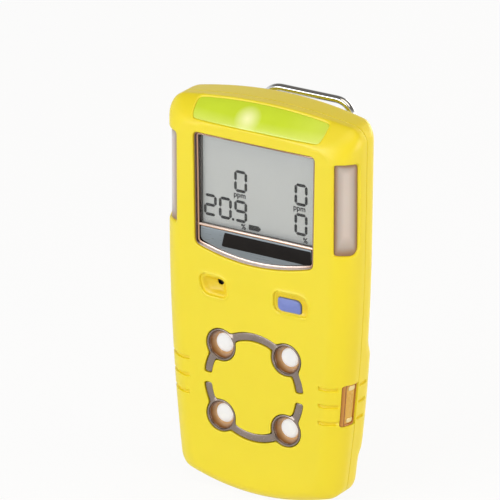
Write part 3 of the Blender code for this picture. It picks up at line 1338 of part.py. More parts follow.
def main():
    """Build every piece under one empty whose place puts the origin at the clip's grip."""
    clear_scene()
    base = bpy.data.objects.new("detector", None)
    bpy.context.scene.collection.objects.link(base)
    base.location = (0, -CLIP_FRONT, -GRIP_HEIGHT)
    for make in (make_front_shell, make_rear_shell, make_housing_seal, make_lenses, make_window,
                 make_display, make_sensor_trims, make_sensors, make_board, make_buzzer, make_button,
                 make_motor, make_battery, make_charge_port, make_screws, make_clip_base, make_clip_jaw,
                 make_clip_pin, make_clip_spring, make_thumb_loop):
        make()


main()
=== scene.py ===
"""Dressed model of a portable four-gas detector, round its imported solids.

Lengths in the sizes are metres. The shape functions work in millimetres in the case's own frame: x across,
y the depth behind the middle of the face, z the height above the lowest point.
"""

import math
from types import SimpleNamespace

import bmesh
import bpy
import numpy as np
from bpy.props import FloatProperty, FloatVectorProperty, IntProperty, PointerProperty
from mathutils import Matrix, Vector, geometry
from mathutils.bvhtree import BVHTree


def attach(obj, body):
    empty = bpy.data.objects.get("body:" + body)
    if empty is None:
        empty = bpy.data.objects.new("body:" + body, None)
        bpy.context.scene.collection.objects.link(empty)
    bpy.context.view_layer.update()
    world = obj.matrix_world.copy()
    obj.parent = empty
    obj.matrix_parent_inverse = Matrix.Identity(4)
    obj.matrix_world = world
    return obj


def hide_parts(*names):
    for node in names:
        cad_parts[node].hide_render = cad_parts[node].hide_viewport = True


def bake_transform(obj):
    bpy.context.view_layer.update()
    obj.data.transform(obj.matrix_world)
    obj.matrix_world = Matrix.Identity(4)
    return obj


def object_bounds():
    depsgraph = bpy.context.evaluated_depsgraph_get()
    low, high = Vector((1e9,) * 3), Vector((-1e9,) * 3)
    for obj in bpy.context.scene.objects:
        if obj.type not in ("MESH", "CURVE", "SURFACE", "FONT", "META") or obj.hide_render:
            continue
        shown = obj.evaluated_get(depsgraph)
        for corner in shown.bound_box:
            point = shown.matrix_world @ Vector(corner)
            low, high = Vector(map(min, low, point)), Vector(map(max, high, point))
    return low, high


bl_info = {
    "name": "Portable gas detector",
    "version": (1, 0, 0),
    "blender": (4, 5, 0),
    "location": "View3D > Sidebar > Detector",
    "description": "Builds the visible pieces of a clip-on four-gas detector",
    "category": "Add Mesh",
}

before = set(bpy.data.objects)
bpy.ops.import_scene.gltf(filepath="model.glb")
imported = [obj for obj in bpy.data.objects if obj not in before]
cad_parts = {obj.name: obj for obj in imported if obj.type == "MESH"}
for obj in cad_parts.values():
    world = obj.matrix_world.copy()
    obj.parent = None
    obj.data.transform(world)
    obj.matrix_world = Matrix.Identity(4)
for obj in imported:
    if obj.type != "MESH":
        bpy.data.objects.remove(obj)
CAD_BOX = [list(corner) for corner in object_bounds()]

# Counts of points round the case's outline, over its edges and round the edges of openings
BASE_POINTS = 14
CORNER_POINTS = 10
SIDE_POINTS = 46
TOP_POINTS = 16
EDGE_STEPS = 14
WALL_STEPS = 3
ROUND_STEPS = 4
# Least rounding of the case's edges, and spacing of loose points on its face and back
LEAST_EDGE = 0.6
FACE_GRID = 1.1
BACK_GRID = FACE_GRID * 1.3
# Rounding of the halves' rims and of the holes in the back
RIM_EDGE = 0.15
BACK_EDGE = 0.3
# Share by which an outline is bowed while it is filled, for each square millimetre
BOW = 2e-5
# Rows of points: across a groove, in shares of its width, and across a recess's rim and the pad's edge
GROOVE_ROWS = np.array((-0.75, -0.56, -0.49, -0.42, -0.35, -0.15, 0.15, 0.35, 0.42, 0.49, 0.56, 0.75))
RIM_ROWS = (0.8, 0.55, 0.4, 0.25, 0.1, 0, -0.1, -0.2, -0.35, -0.5, -0.65, -0.85)
PAD_ROWS = (0.5, 0.15, -0.1, -0.35, -0.6)
# Room that other points keep from such rows
ROW_ROOM = 0.5
# Ring of points beside each edge: its distance, and the room that it and other points keep
GUARD = 0.3
GUARD_ROOM = 0.2
GUARD_CLEAR = 0.25
# Where rays onto the case start, above and beside it
RAY_ABOVE = 200
RAY_BESIDE = 80
# Angle in degrees past which an edge stays sharp
SHARP_ANGLE = 32


# Sizes and colours

def length(label, millimetres, note):
    """A length property, its default given in millimetres."""
    return FloatProperty(name=label, description=note, default=millimetres / 1000, unit="LENGTH", precision=5)


def linear(code):
    """An sRGB hex colour as linear light."""
    channels = [int(code[i:i + 2], 16) / 255 for i in (1, 3, 5)]
    return tuple(c / 12.92 if c <= 0.04045 else ((c + 0.055) / 1.055) ** 2.4 for c in channels)


def colour(label, code, note):
    """A colour property, its default given as sRGB hex."""
    return FloatVectorProperty(name=label, description=note, subtype="COLOR", size=3, min=0, max=1,
                               default=linear(code))


class DetectorCaseSizes(bpy.types.PropertyGroup):
    """Outline and section of the two case halves."""
    width: length("Width", 60.5, "Across the shoulders")
    height: length("Height", 113.1, "From the base to the top")
    shoulder: length("Shoulder", 77.5, "Height below which the sides taper")
    side_sweep: length("Side sweep", 572, "Radius of the tapering sides")
    top_sweep: length("Top sweep", 160, "Radius of the top")
    base_sweep: length("Base sweep", 72, "Radius of the base")
    top_corner: length("Top corner", 5.0, "Radius of the upper corners")
    base_corner: length("Base corner", 4.8, "Radius of the lower corners")
    face_crown: length("Face crown", 0.7, "How far the face falls back at the sides")
    seam_base: length("Seam at base", 7.1, "Depth of the seam at the base")
    seam_top: length("Seam at top", 9.4, "Depth of the seam at the top")
    back_base: length("Back at base", 17.2, "Depth of the back at the base")
    back_top: length("Back at top", 19.2, "Depth of the back at the top")
    back_crown: length("Back crown", 2.2, "How far the back falls forward at the sides")
    wall: length("Wall", 2.0, "Thickness of the case")
    face_side: length("Face side edge", 6.8, "Rounding along the sides of the face")
    face_top: length("Face top edge", 6.5, "Bevel along the top of the face")
    face_base: length("Face base edge", 3.6, "Rounding along the base of the face")
    back_side: length("Back side edge", 6.0, "Rounding along the sides of the back")
    back_upper: length("Back top edge", 3.2, "Rounding along the top of the back")
    back_lower: length("Back base edge", 4.5, "Rounding along the base of the back")
    hump_rise: length("Hump", 1.4, "Rise of the hump low on the back")
    hump_low: length("Hump foot", 13.5, "Height at which the hump starts")
    hump_high: length("Hump end", 48.0, "Height at which the hump ends")
    hump_ramp: length("Hump ramp", 4.0, "Length of each of the hump's slopes")
    seam_room: length("Seam room", 1.4, "Straight wall kept beside the seam")
    gap: length("Gap", 0.3, "Clearance between pieces")
    seam_gap: length("Seam gap", 0.14, "Width of the seam between the halves")
    edge: length("Opening edge", 0.35, "Rounding of the edges of openings")
    groove_pitch: length("Groove pitch", 5.0, "Distance between grip grooves")
    groove_height: length("Groove height", 32.0, "Height of the middle groove")
    groove_width: length("Groove width", 1.1, "Width of a grip groove")
    groove_depth: length("Groove depth", 0.6, "Depth of a grip groove")
    groove_inner: length("Groove start", 20.5, "Where the grooves start, from the middle")
    groove_outer: length("Groove end", 26.3, "Where the right-hand grooves end on the face")
    groove_rear: length("Rear groove", 3.6, "Length of the grooves behind the seam")


class DetectorFaceSizes(bpy.types.PropertyGroup):
    """Lenses, window, ports, button and sound hole."""
    window_top: length("Window top", 103.2, "Upper edge of the window")
    window_low: length("Window corner", 71.0, "Height of the window's lower corners")
    window_sag: length("Window sag", 3.0, "How far the window's lower edge hangs down")
    window_top_width: length("Window top width", 38.5, "Width of the window above")
    window_low_width: length("Window base width", 37.6, "Width of the window below")
    window_corner: length("Window corner radius", 1.3, "Rounding of the window's corners")
    bar_height: length("Bar height", 76.4, "Height of the bar over the label")
    lens_low: length("Lens base", 106.7, "Lower edge of the green lens")
    lens_deep: length("Lens depth", 6.3, "How far back the green lens reaches over the top")
    lens_low_width: length("Lens base width", 39.1, "Width of the green lens below")
    lens_high_width: length("Lens top width", 41.2, "Width of the green lens above")
    lens_wall: length("Lens wall", 1.1, "Thickness of the lenses")
    side_low: length("Side lens base", 75.6, "Lower edge of the side lenses")
    side_high: length("Side lens top", 101.7, "Upper edge of the side lenses")
    side_inner: length("Side lens inside", 24.9, "Inner edge of the side lenses on the face")
    side_left: length("Left lens depth", 7.5, "How far back the left lens reaches")
    side_right: length("Right lens depth", 5.8, "How far back the right lens reaches")
    side_corner: length("Side lens corner", 2.2, "Rounding of the side lenses")
    port_spacing: length("Port spacing", 20.8, "Distance between neighbouring ports")
    port_height: length("Port height", 32.6, "Height of the middle of the ports")
    port_radius: length("Port radius", 4.0, "Radius of a port at the face")
    collar_radius: length("Collar radius", 4.66, "Radius of the trim round a port")
    trim_band: length("Trim band", 2.2, "Width of the trim between ports")
    trim_gap: length("Trim gap", 3.1, "Gap between the two trims")
    hole_x: length("Sound hole across", -11.4, "Place of the sound hole")
    hole_height: length("Sound hole height", 60.8, "Height of the sound hole")
    hole_radius: length("Sound hole radius", 1.0, "Radius of the sound hole")
    dish: length("Face dish", 0.16, "How far the face below the window lies back")
    dish_low: length("Dish base", 8.0, "Height at which the dish starts")
    dish_high: length("Dish top", 63.0, "Height at which the dish ends")
    recess: length("Recess", 0.8, "Depth of the recesses round button and sound hole")
    button_x: length("Button across", 11.3, "Place of the button")
    button_height: length("Button height", 58.9, "Height of the button")
    button_width: length("Button width", 7.3, "Width of the button")
    button_tall: length("Button tall", 3.8, "Height of the button's cap")
    charge_low: length("Charging recess base", 25.8, "Lower edge of the charging recess")
    charge_high: length("Charging recess top", 38.1, "Upper edge of the charging recess")
    charge_near: length("Charging recess front", 2.6, "Front edge of the charging recess")


class DetectorClipSizes(bpy.types.PropertyGroup):
    """Back plate, jaw, spring, thumb loop and case screws."""
    grip_height: length("Grip height", 50.5, "Height of the clip's grip, the packed origin")
    clip_front: length("Clip front", 20.6, "Depth of the base plate's outer face, the packed origin")
    pad_depth: length("Pad depth", 19.5, "Depth of the pad under the clip")
    base_sheet: length("Base sheet", 0.8, "Thickness of the base plate")
    base_width: length("Base width", 19.6, "Width of the base plate")
    base_top: length("Base top", 90.0, "Upper edge of the base plate")
    hinge_height: length("Hinge height", 85.0, "Height of the hinge")
    hinge_depth: length("Hinge depth", 22.85, "Depth of the hinge")
    pin_radius: length("Pin radius", 0.9, "Radius of the hinge pin")
    pin_head: length("Pin head", 1.5, "Radius of the pin's heads")
    pin_head_length: length("Pin head length", 0.7, "Thickness of the pin's heads")
    ear_radius: length("Ear radius", 2.1, "Radius of the ears round the pin")
    jaw_sheet: length("Jaw sheet", 0.9, "Thickness of the jaw")
    jaw_width: length("Jaw width", 17.0, "Width of the jaw")
    jaw_middle: length("Jaw depth", 25.55, "Depth of the jaw's flat")
    jaw_flat: length("Jaw flat", 65.0, "Height at which the jaw's flat starts")
    jaw_nose: length("Jaw nose", 57.0, "Height of the jaw's bend")
    jaw_back: length("Jaw set-back", 1.2, "How far the bend comes in")
    heel: length("Jaw heel", 0.3, "How far the jaw steps out at its curl")
    tooth_depth: length("Tooth depth", 1.2, "Depth of the jaw's teeth")
    tooth_count: IntProperty(name="Teeth", description="Notches in the jaw's edge", default=5, min=1)
    loop_wire: length("Loop wire", 2.19, "Diameter of the thumb loop's wire")
    loop_width: length("Loop width", 30.9, "Width of the thumb loop")
    loop_corner: length("Loop corner", 5.5, "Bend radius of the thumb loop")
    loop_low: length("Loop base", 93.0, "Height of the thumb loop's lower bar")
    loop_high: length("Loop top", 109.0, "Height of the thumb loop's upper bar")
    loop_lean: length("Loop lean", 1.2, "How far the loop leans back")
    spring_wire: length("Spring wire", 0.7, "Diameter of the spring's wire")
    spring_radius: length("Spring radius", 1.6, "Radius of the spring's coils")
    spring_pitch: length("Spring pitch", 1.3, "Distance between the coils")
    spring_leg: length("Spring leg", 4.8, "Length of the spring's legs")
    screw_height: length("Clip screw height", 57.0, "Height of the clip's screw")
    screw_radius: length("Screw radius", 1.1, "Radius of a screw's shank")
    screw_head: length("Screw head", 2.1, "Radius of a screw's head")
    screw_head_tall: length("Screw head tall", 1.4, "Height of a screw's head")
    screw_socket: length("Screw socket", 1.0, "Radius of a screw's socket")
    screw_socket_deep: length("Socket depth", 0.8, "Depth of a screw's socket")
    post_side: length("Post across", 23.6, "Upper and middle posts from the middle")
    post_top: length("Post top", 105.0, "Height of the upper posts")
    post_middle: length("Post middle", 58.0, "Height of the middle posts")
    post_base_x: length("Base post across", 16.5, "Lower posts from the middle")
    post_base: length("Base post", 10.0, "Height of the lower posts")


class DetectorColours(bpy.types.PropertyGroup):
    """Colours of the finishes."""
    case: colour("Case", "#EEDB1E", "Moulded yellow case")
    green: colour("Green lens", "#BFD434", "Lit alarm lens")
    frost: colour("Side lens", "#C6BFBC", "Frosted side lenses")
    bronze: colour("Window frame", "#4A2E20", "Bronze frame")
    # Painted highlight: the bright line along the frame stands in for light that its plating reflects
    bead_highlight: colour("Frame bead", "#E2B596", "Bright bead of the frame")
    glass: colour("Display", "#B8BCBB", "Grey display glass")
    digit: colour("Digits", "#101315", "Display segments")
    silver: colour("Label", "#80888D", "Silver label plate")
    band: colour("Label band", "#15110F", "Black band on the label")
    trim: colour("Trim", "#887B73", "Sensor trims")
    liner: colour("Port wall", "#A8632A", "Walls of the ports")
    membrane: colour("Filter", "#F9FCFF", "White filters")
    button: colour("Button", "#7483C8", "Push button")
    amber: colour("Charging recess", "#A2641F", "Amber charging recess")
    steel: colour("Steel", "#C9CBCC", "Polished clip")


GROUPS = {
    "detector_case": DetectorCaseSizes,
    "detector_face": DetectorFaceSizes,
    "detector_clip": DetectorClipSizes,
    "detector_colours": DetectorColours,
}


def sizes():
    """Every length of the detector in millimetres, by its name."""
    found = {}
    for owner in ("detector_case", "detector_face", "detector_clip"):
        group = getattr(bpy.context.scene, owner)
        for key in type(group).__annotations__:
            value = getattr(group, key)
            found[key] = value if isinstance(value, int) else value * 1000
    return SimpleNamespace(**found)


def tint(key):
    """A finish's colour, as linear light."""
    return tuple(getattr(bpy.context.scene.detector_colours, key))


# The case's surface

def side_x(s, z):
    """Half the width at a height."""
    return s.width / 2 - max(s.shoulder - z, 0) ** 2 / (2 * s.side_sweep)


def seam_y(s, z):
    """Depth of the seam at a height."""
    return s.seam_base + (s.seam_top - s.seam_base) * z / s.height


def face_y(s, x, z):
    """Depth of the crowned face."""
    return s.face_crown * (x / (s.width / 2)) ** 2


def back_y(s, x, z):
    """Depth of the crowned back with its hump."""
    rise = np.clip((z - s.hump_low) / s.hump_ramp, 0, 1) - np.clip((z - s.hump_high) / s.hump_ramp + 1, 0, 1)
    rise = rise * rise * (3 - 2 * rise)
    plain = s.back_base + (s.back_top - s.back_base) * z / s.height - s.back_crown * (x / (s.width / 2)) ** 2
    return plain + s.hump_rise * rise


def arc(centre, radius, start, end, steps):
    """Points on an arc, both ends included."""
    angles = np.linspace(start, end, steps + 1)
    return np.column_stack((centre[0] + radius * np.cos(angles), centre[1] + radius * np.sin(angles)))


def outline(s, side, top, base, trim):
    """The case's outline from the front, anticlockwise from the middle of the base, its edges moved in."""
    base_centre = np.array((0, s.base_sweep))
    base_radius = s.base_sweep - base
    corner = max(s.base_corner - trim, LEAST_EDGE)
    low, high = 0.0, s.shoulder
    for _ in range(40):
        z = (low + high) / 2
        inward = np.array((-1, max(s.shoulder - z, 0) / s.side_sweep))
        touch = np.array((side_x(s, z) - side, z))
        centre = touch + corner * inward / np.linalg.norm(inward)
        if np.linalg.norm(centre - base_centre) > base_radius - corner:
            low = z
        else:
            high = z
    start = math.atan2(*(centre - base_centre)[::-1])
    turn = math.atan2(*(touch - centre)[::-1])
    half = [arc(base_centre, base_radius, -math.pi / 2, start, BASE_POINTS),
            arc(centre, corner, start, turn, CORNER_POINTS)[1:]]
    foot = touch[1]
    top_centre = np.array((0, s.height - s.top_sweep))
    top_radius = s.top_sweep - top
    corner = max(s.top_corner - trim, LEAST_EDGE)
    across = s.width / 2 - side - corner
    centre = np.array((across, top_centre[1] + math.sqrt((top_radius - corner) ** 2 - across ** 2)))
    rise = np.linspace(foot, centre[1], SIDE_POINTS + 1)[1:]
    half.append(np.array([(side_x(s, z) - side, z) for z in rise]))
    end = math.atan2(centre[1] - top_centre[1], across)
    half.append(arc(centre, corner, 0, end, CORNER_POINTS)[1:])
    half.append(arc(top_centre, top_radius, end, math.pi / 2, TOP_POINTS)[1:])
    half = np.vstack(half)
    half[[0, -1], 0] = 0
    return np.vstack((half, half[-2:0:-1] * (-1, 1)))


def outward(loop):
    """Unit normals of an anticlockwise loop."""
    after = np.roll(loop, -1, 0) - loop
    after /= np.linalg.norm(after, axis=1)[:, None]
    along = after + np.roll(after, 1, 0)
    along /= np.linalg.norm(along, axis=1)[:, None]
    return np.column_stack((along[:, 1], -along[:, 0]))


def offset(loop, distance):
    """A loop moved outwards, or inwards where the distance is negative."""
    return loop + outward(loop) * distance


def inside(points, loop):
    """Which points lie inside a loop."""
    x, z = points[:, :1], points[:, 1:]
    ax, az = loop.T
    bx, bz = np.roll(loop, -1, 0).T
    slope = (bx - ax) / np.where(bz == az, 1, bz - az)
    hits = ((az > z) != (bz > z)) & (x < slope * (z - az) + ax)
    return hits.sum(axis=1) % 2 == 1


class Skin:
    """One half of the case as a surface: flat places in, points at any depth below the surface out."""

    def __init__(self, s, cap, mouth, edges, bevels, facing):
        self.s, self.cap, self.mouth, self.facing = s, cap, mouth, facing
        outer = self.rings(0, edges, bevels)
        inner = self.rings(s.wall, edges, bevels)
        self.border = outer[0][:, [0, 2]]
        run = np.cumsum(np.linalg.norm(np.diff(outer, axis=0), axis=2), axis=0)
        run = np.vstack((np.zeros((1, run.shape[1])), run))
        flat = self.border + outward(self.border) * run[..., None]
        self.rim = flat[-1]
        self.rim_space = outer[-1]
        rows, count = run.shape
        self.faces = []
        for r in range(rows - 1):
            for i in range(count):
                a, b = r * count + i, r * count + (i + 1) % count
                self.faces += [(a, b, b + count), (a, b + count, a + count)]
        self.outer, self.inner, self.flat = outer.reshape(-1, 3), inner.reshape(-1, 3), flat.reshape(-1, 2)
        level = [(x, z, 0) for x, z in self.flat]
        self.level = [Vector(p) for p in level]
        self.space = [Vector(p) for p in self.outer]
        self.flat_tree = BVHTree.FromPolygons(level, self.faces)
        self.space_tree = BVHTree.FromPolygons(self.outer.tolist(), self.faces)

    def rings(self, inset, edges, bevels):
        """Rings of points from the border of the cap out to the seam, moved in by an inset."""
        s = self.s
        radii = [max(edge - inset, LEAST_EDGE) for edge in edges]
        rings = []
        for step in range(EDGE_STEPS, -1, -1):
            angle = math.pi / 2 * step / EDGE_STEPS
            moved = [inset + r * (1 - math.cos(angle) ** b) for r, b in zip(radii, bevels)]
            left = [1 - math.sin(angle) ** b for b in bevels]
            loop = outline(s, *moved, inset)
            ring = []
            for (x, z), normal in zip(loop, outward(loop)):
                room = abs(self.mouth(z) - self.cap(x, z)) - inset - s.seam_room
                upright = 1 if normal[1] > 0 else 2
                depth = min(radii[0], room) * left[0] * normal[0] ** 2
                depth += min(radii[upright], room) * left[upright] * normal[1] ** 2
                ring.append((x, self.cap(x, z) + self.facing * (inset + depth), z))
            rings.append(np.array(ring))
        last = np.array([(x, self.mouth(z), z) for x, z in outline(s, inset, inset, inset, inset)])
        start = rings[-1]
        rings += [start + (last - start) * k / WALL_STEPS for k in range(1, WALL_STEPS + 1)]
        return np.array(rings)

    def at(self, flat, depth):
        """Points at a depth below the surface."""
        flat = np.asarray(flat, float)
        depth = np.broadcast_to(np.asarray(depth, float), len(flat))
        points = np.empty((len(flat), 3))
        capped = inside(flat, self.border)
        x, z = flat[capped].T
        points[capped] = np.column_stack((x, self.cap(x, z) + self.facing * depth[capped], z))
        for k in np.flatnonzero(~capped):
            face = self.flat_tree.find_nearest((*flat[k], 0))[2]
            corners = list(self.faces[face])
            a, b, c = self.flat[corners]
            u, v = np.linalg.solve(np.column_stack((b - a, c - a)), flat[k] - a)
            share = np.array((1 - u - v, u, v))
            outer, inner = share @ self.outer[corners], share @ self.inner[corners]
            points[k] = outer + (inner - outer) * depth[k] / self.s.wall
        return points

    def place(self, points, flank=0):
        """Flat places of points on the surface.

        Points are (x, z) from the front, (y, z) from the flank of that sign or, with 2, (x, y) from above.
        """
        places = []
        points = np.asarray(points, float)
        capped = inside(points, self.border) if not flank else np.zeros(len(points), bool)
        for (across, z), done in zip(points, capped):
            if done:
                places.append((across, z))
                continue
            if flank == 2:
                start, ray = (across, z, RAY_ABOVE), (0, 0, -1)
            elif flank:
                start, ray = (flank * RAY_BESIDE, across, z), (-flank, 0, 0)
            else:
                start, ray = (across, -RAY_BESIDE * self.facing, z), (0, self.facing, 0)
            spot, _, face, _ = self.space_tree.ray_cast(start, ray)
            if spot is None:
                raise RuntimeError(f"no surface at {across:.2f}, {z:.2f}")
            a, b, c = self.faces[face]
            flat = geometry.barycentric_transform(spot, self.space[a], self.space[b], self.space[c],
                                                  self.level[a], self.level[b], self.level[c])
            places.append((flat.x, flat.y))
        return np.array(places)


SKINS = {}


def skin(name):
    """The front or the rear surface, made once."""
    s = sizes()
    if name not in SKINS and name == "front":
        SKINS[name] = Skin(s, lambda x, z: face_y(s, x, z), lambda z: seam_y(s, z),
                           (s.face_side, s.face_top, s.face_base), (1.1, 1.6, 1.1), 1)
    elif name not in SKINS:
        SKINS[name] = Skin(s, lambda x, z: back_y(s, x, z), lambda z: seam_y(s, z) + s.seam_gap,
                           (s.back_side, s.back_upper, s.back_lower), (1.0, 1.0, 1.0), -1)
    return SKINS[name]


# Outlines

def resample(loop, step):
    """A closed loop with evenly spaced points."""
    closed = np.vstack((loop, loop[:1]))
    run = np.concatenate(([0], np.cumsum(np.linalg.norm(np.diff(closed, axis=0), axis=1))))
    count = max(int(round(run[-1] / step)), 8)
    spots = np.linspace(0, run[-1], count, endpoint=False)
    return np.column_stack([np.interp(spots, run, closed[:, k]) for k in range(closed.shape[1])])


def eased(loop, passes):
    """A closed loop with its corners eased by averaging."""
    for _ in range(passes):
        loop = loop / 2 + (np.roll(loop, 1, 0) + np.roll(loop, -1, 0)) / 4
    return loop


def rounded(corners, radii, step=0.6):
    """A closed anticlockwise outline with each corner rounded by its own radius."""
    corners = np.asarray(corners, float)
    points = []
    for k, here in enumerate(corners):
        before = corners[k - 1] - here
        after = corners[(k + 1) % len(corners)] - here
        before /= np.linalg.norm(before)
        after /= np.linalg.norm(after)
        half = math.acos(np.clip(before @ after, -1, 1)) / 2
        middle = before + after
        centre = here + middle / np.linalg.norm(middle) * radii[k] / math.sin(half)
        reach = radii[k] / math.tan(half)
        first, last = here + before * reach - centre, here + after * reach - centre
        start = math.atan2(first[1], first[0])
        swing = (math.atan2(last[1], last[0]) - start + math.pi) % math.tau - math.pi
        points.append(arc(centre, radii[k], start, start + swing, 8))
    return resample(np.vstack(points), step)


def rectangle(half, low, high):
    """Corners of an upright rectangle about the middle."""
    return [(-half, low), (half, low), (half, high), (-half, high)]


def window_loop(s, step=0.6):
    """The display opening: straight sides, rounded corners and a bowed lower edge."""
    half_low, half_top = s.window_low_width / 2, s.window_top_width / 2
    low, high = s.window_low, s.window_top
    corners = [(-half_low, low), (half_low, low), (half_top, high), (-half_top, high)]
    loop = rounded(corners, [s.window_corner] * 4, step)
    hang = np.clip((high - loop[:, 1]) / (high - low), 0, 1) ** 3
    loop[:, 1] -= s.window_sag * hang * (1 - (loop[:, 0] / half_low) ** 2)
    return loop


def lens_loop(s):
    """The green lens on the flat surface: straight on the bevel, flaring back over the top."""
    surface = skin("front")
    low, high = s.lens_low_width / 2, s.lens_high_width / 2
    front = surface.place([(x, s.lens_low) for x in np.linspace(-low, low, 50)])
    above = surface.place([(x, s.lens_deep) for x in np.linspace(high, -high, 50)], 2)
    return eased(resample(np.vstack((front, above)), 0.5), 4)


def side_lens_loop(s, sign):
    """A side lens on the flat surface: along the face, round the edge and along the flank."""
    surface = skin("front")
    low, high, inner = s.side_low, s.side_high, s.side_inner
    deep = s.side_left if sign < 0 else s.side_right
    turn = inner + (s.width / 2 - inner) * 0.55
    near = surface.at(surface.place([(sign * turn, (low + high) / 2)]), 0)[0][1]
    wide, tight = s.side_corner, s.side_corner / 3
    flank = [(y, low) for y in np.linspace(near, deep - wide, 8)[1:-1]]
    flank += list(arc((deep - wide, low + wide), wide, -math.pi / 2, 0, 6))
    flank += list(arc((deep - tight, high - tight), tight, 0, math.pi / 2, 4))
    flank += [(y, high) for y in np.linspace(deep - tight, near, 8)[1:-1]]
    front = [(x, high) for x in np.linspace(turn, inner, 6)] + [(x, low) for x in np.linspace(inner, turn, 6)]
    flat = np.vstack((surface.place(flank, sign), surface.place([(sign * x, z) for x, z in front])))
    return eased(resample(flat if sign > 0 else flat[::-1], 0.4), 4)


def trim_loop(s, sign, grow):
    """The plan of one sensor trim: an arc with a round pad at each port."""
    spread = s.port_spacing / math.sqrt(2)
    half, pad = s.trim_band / 2 + grow, s.collar_radius + grow
    start = math.asin((s.trim_gap / 2 - grow) / spread)
    angles = np.linspace(start, math.pi - start, 240)
    away = np.minimum(np.abs(angles - math.pi / 4), np.abs(angles - 3 * math.pi / 4))
    reach = pad ** 2 - (spread * np.sin(away)) ** 2
    chord = np.sqrt(np.clip(reach, 0, None))
    wide = np.where(reach > 0, np.maximum(spread + half, spread * np.cos(away) + chord), spread + half)
    slim = np.where(reach > 0, np.minimum(spread - half, spread * np.cos(away) - chord), spread - half)
    outer = np.column_stack((wide * np.cos(angles), wide * np.sin(angles)))
    inner = np.column_stack((slim * np.cos(angles), slim * np.sin(angles)))[::-1]
    loop = eased(resample(np.vstack((outer, inner)), 0.45), 3)
    if sign < 0:
        loop = loop[::-1] * (1, -1)
    return loop + (0, s.port_height)


def ports(s):
    """Middles of the four ports, upper pair first."""
    half = s.port_spacing / 2
    return [(x * half, s.port_height + z * half) for z in (1, -1) for x in (-1, 1)]


def posts(s):
    """Places of the six case screws."""
    spots = [(s.post_side, s.post_top), (s.post_side, s.post_middle), (s.post_base_x, s.post_base)]
    return [(sign * x, z) for x, z in spots for sign in (-1, 1)]


def circle(middle, radius, count):
    """A round loop."""
    return arc(middle, radius, 0, math.tau, count)[:-1]


# Meshes

def in_world(points):
    """Millimetre points of the case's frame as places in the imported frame."""
    s = sizes()
    return (np.asarray(points, float) - (0, s.clip_front, s.grip_height)) / 1000


def new_mesh(name, points, faces, edges=()):
    """A mesh of millimetre points."""
    mesh = bpy.data.meshes.new(name)
    mesh.from_pydata(in_world(points).tolist(), edges, [tuple(int(i) for i in f) for f in faces])
    return mesh


def new_object(name, data):
    """An object of the scene that holds some data."""
    made = bpy.data.objects.new(name, data)
    bpy.context.scene.collection.objects.link(made)
    return made


def as_piece(name, points, faces, slot, material, replaces=(), body="housing"):
    """Make a piece from the points and faces of a closed shape."""
    return finish_piece(name, new_mesh(name, points, faces), material, replaces, body)


def finish_piece(name, mesh, material, replaces=(), body="housing"):
    """Link a mesh, facing outwards, as a piece with its finish, smooth but for its sharp edges."""
    bm = bmesh.new()
    bm.from_mesh(mesh)
    bmesh.ops.recalc_face_normals(bm, faces=bm.faces)
    bm.to_mesh(mesh)
    bm.free()
    mesh.shade_smooth()
    mesh.set_sharp_from_angle(angle=math.radians(SHARP_ANGLE))
    mesh.materials.clear()
    mesh.materials.append(material)
    made = new_object(name, mesh)
    if body:
        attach(made, body)
    if replaces:
        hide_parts(*replaces)
    return made


def fill(loops, points):
    """Triangles between the first loop and the others, over the loops' points and then the loose ones."""
    spots = np.vstack(loops + [points])
    edges, start = [], 0
    for loop in loops:
        count = len(loop)
        edges += [(start + i, start + (i + 1) % count) for i in range(count)]
        start += count
    # Straight sides are bowed out a little, so that no point of a side lies on its neighbours' line
    away = spots - loops[0].mean(axis=0)
    bowed = away * (1 - BOW * (away ** 2).sum(axis=1))[:, None]
    found = geometry.delaunay_2d_cdt([Vector(p) for p in bowed], edges, [], 0, 1e-6)
    source = [origin[0] if origin else -1 for origin in found[3]]
    if min(source) < 0:
        raise RuntimeError("two outlines cross on the surface")
    triangles = np.array([[source[i] for i in face] for face in found[2]])
    walls = set(map(frozenset, edges))
    owners = {}
    for k, (a, b, c) in enumerate(triangles.tolist()):
        for side in ((a, b), (b, c), (c, a)):
            owners.setdefault(frozenset(side), []).append(k)
    within = {pair[0]: side in walls for side, pair in owners.items() if len(pair) == 1}
    waiting = list(within)
    while waiting:
        here = waiting.pop()
        a, b, c = triangles[here].tolist()
        for side in map(frozenset, ((a, b), (b, c), (c, a))):
            for beyond in owners[side]:
                if beyond not in within:
                    within[beyond] = within[here] != (side in walls)
                    waiting.append(beyond)
    return triangles[[within[k] for k in range(len(triangles))]]


def bands(rows):
    """Quads between neighbouring rows, each the point numbers of a closed loop."""
    faces = []
    for here, after in zip(rows, rows[1:]):
        faces += list(zip(here, np.roll(here, -1), np.roll(after, -1), after))
    return faces


def away_from(points, others, room):
    """The points that keep some room from all the others."""
    far = np.ones(len(points), bool)
    for spot in others:
        far &= ((points - spot) ** 2).sum(axis=1) > room ** 2
    return points[far]


def clear_points(points, loops, room):
    """The points between the first loop and the others that keep some room from all of them."""
    keep = inside(points, loops[0])
    for loop in loops[1:]:
        keep &= ~inside(points, loop)
    return away_from(points[keep], np.vstack(loops), room)


def hexagons(loop, step):
    """A triangular lattice over a loop's box."""
    low, high = loop.min(axis=0), loop.max(axis=0)
    rise = step * math.sqrt(3) / 2
    rows = []
    for k, z in enumerate(np.arange(low[1], high[1], rise)):
        x = np.arange(low[0] + (k % 2) * step / 2, high[0], step)
        rows.append(np.column_stack((x, np.full(len(x), z))))
    return np.vstack(rows)


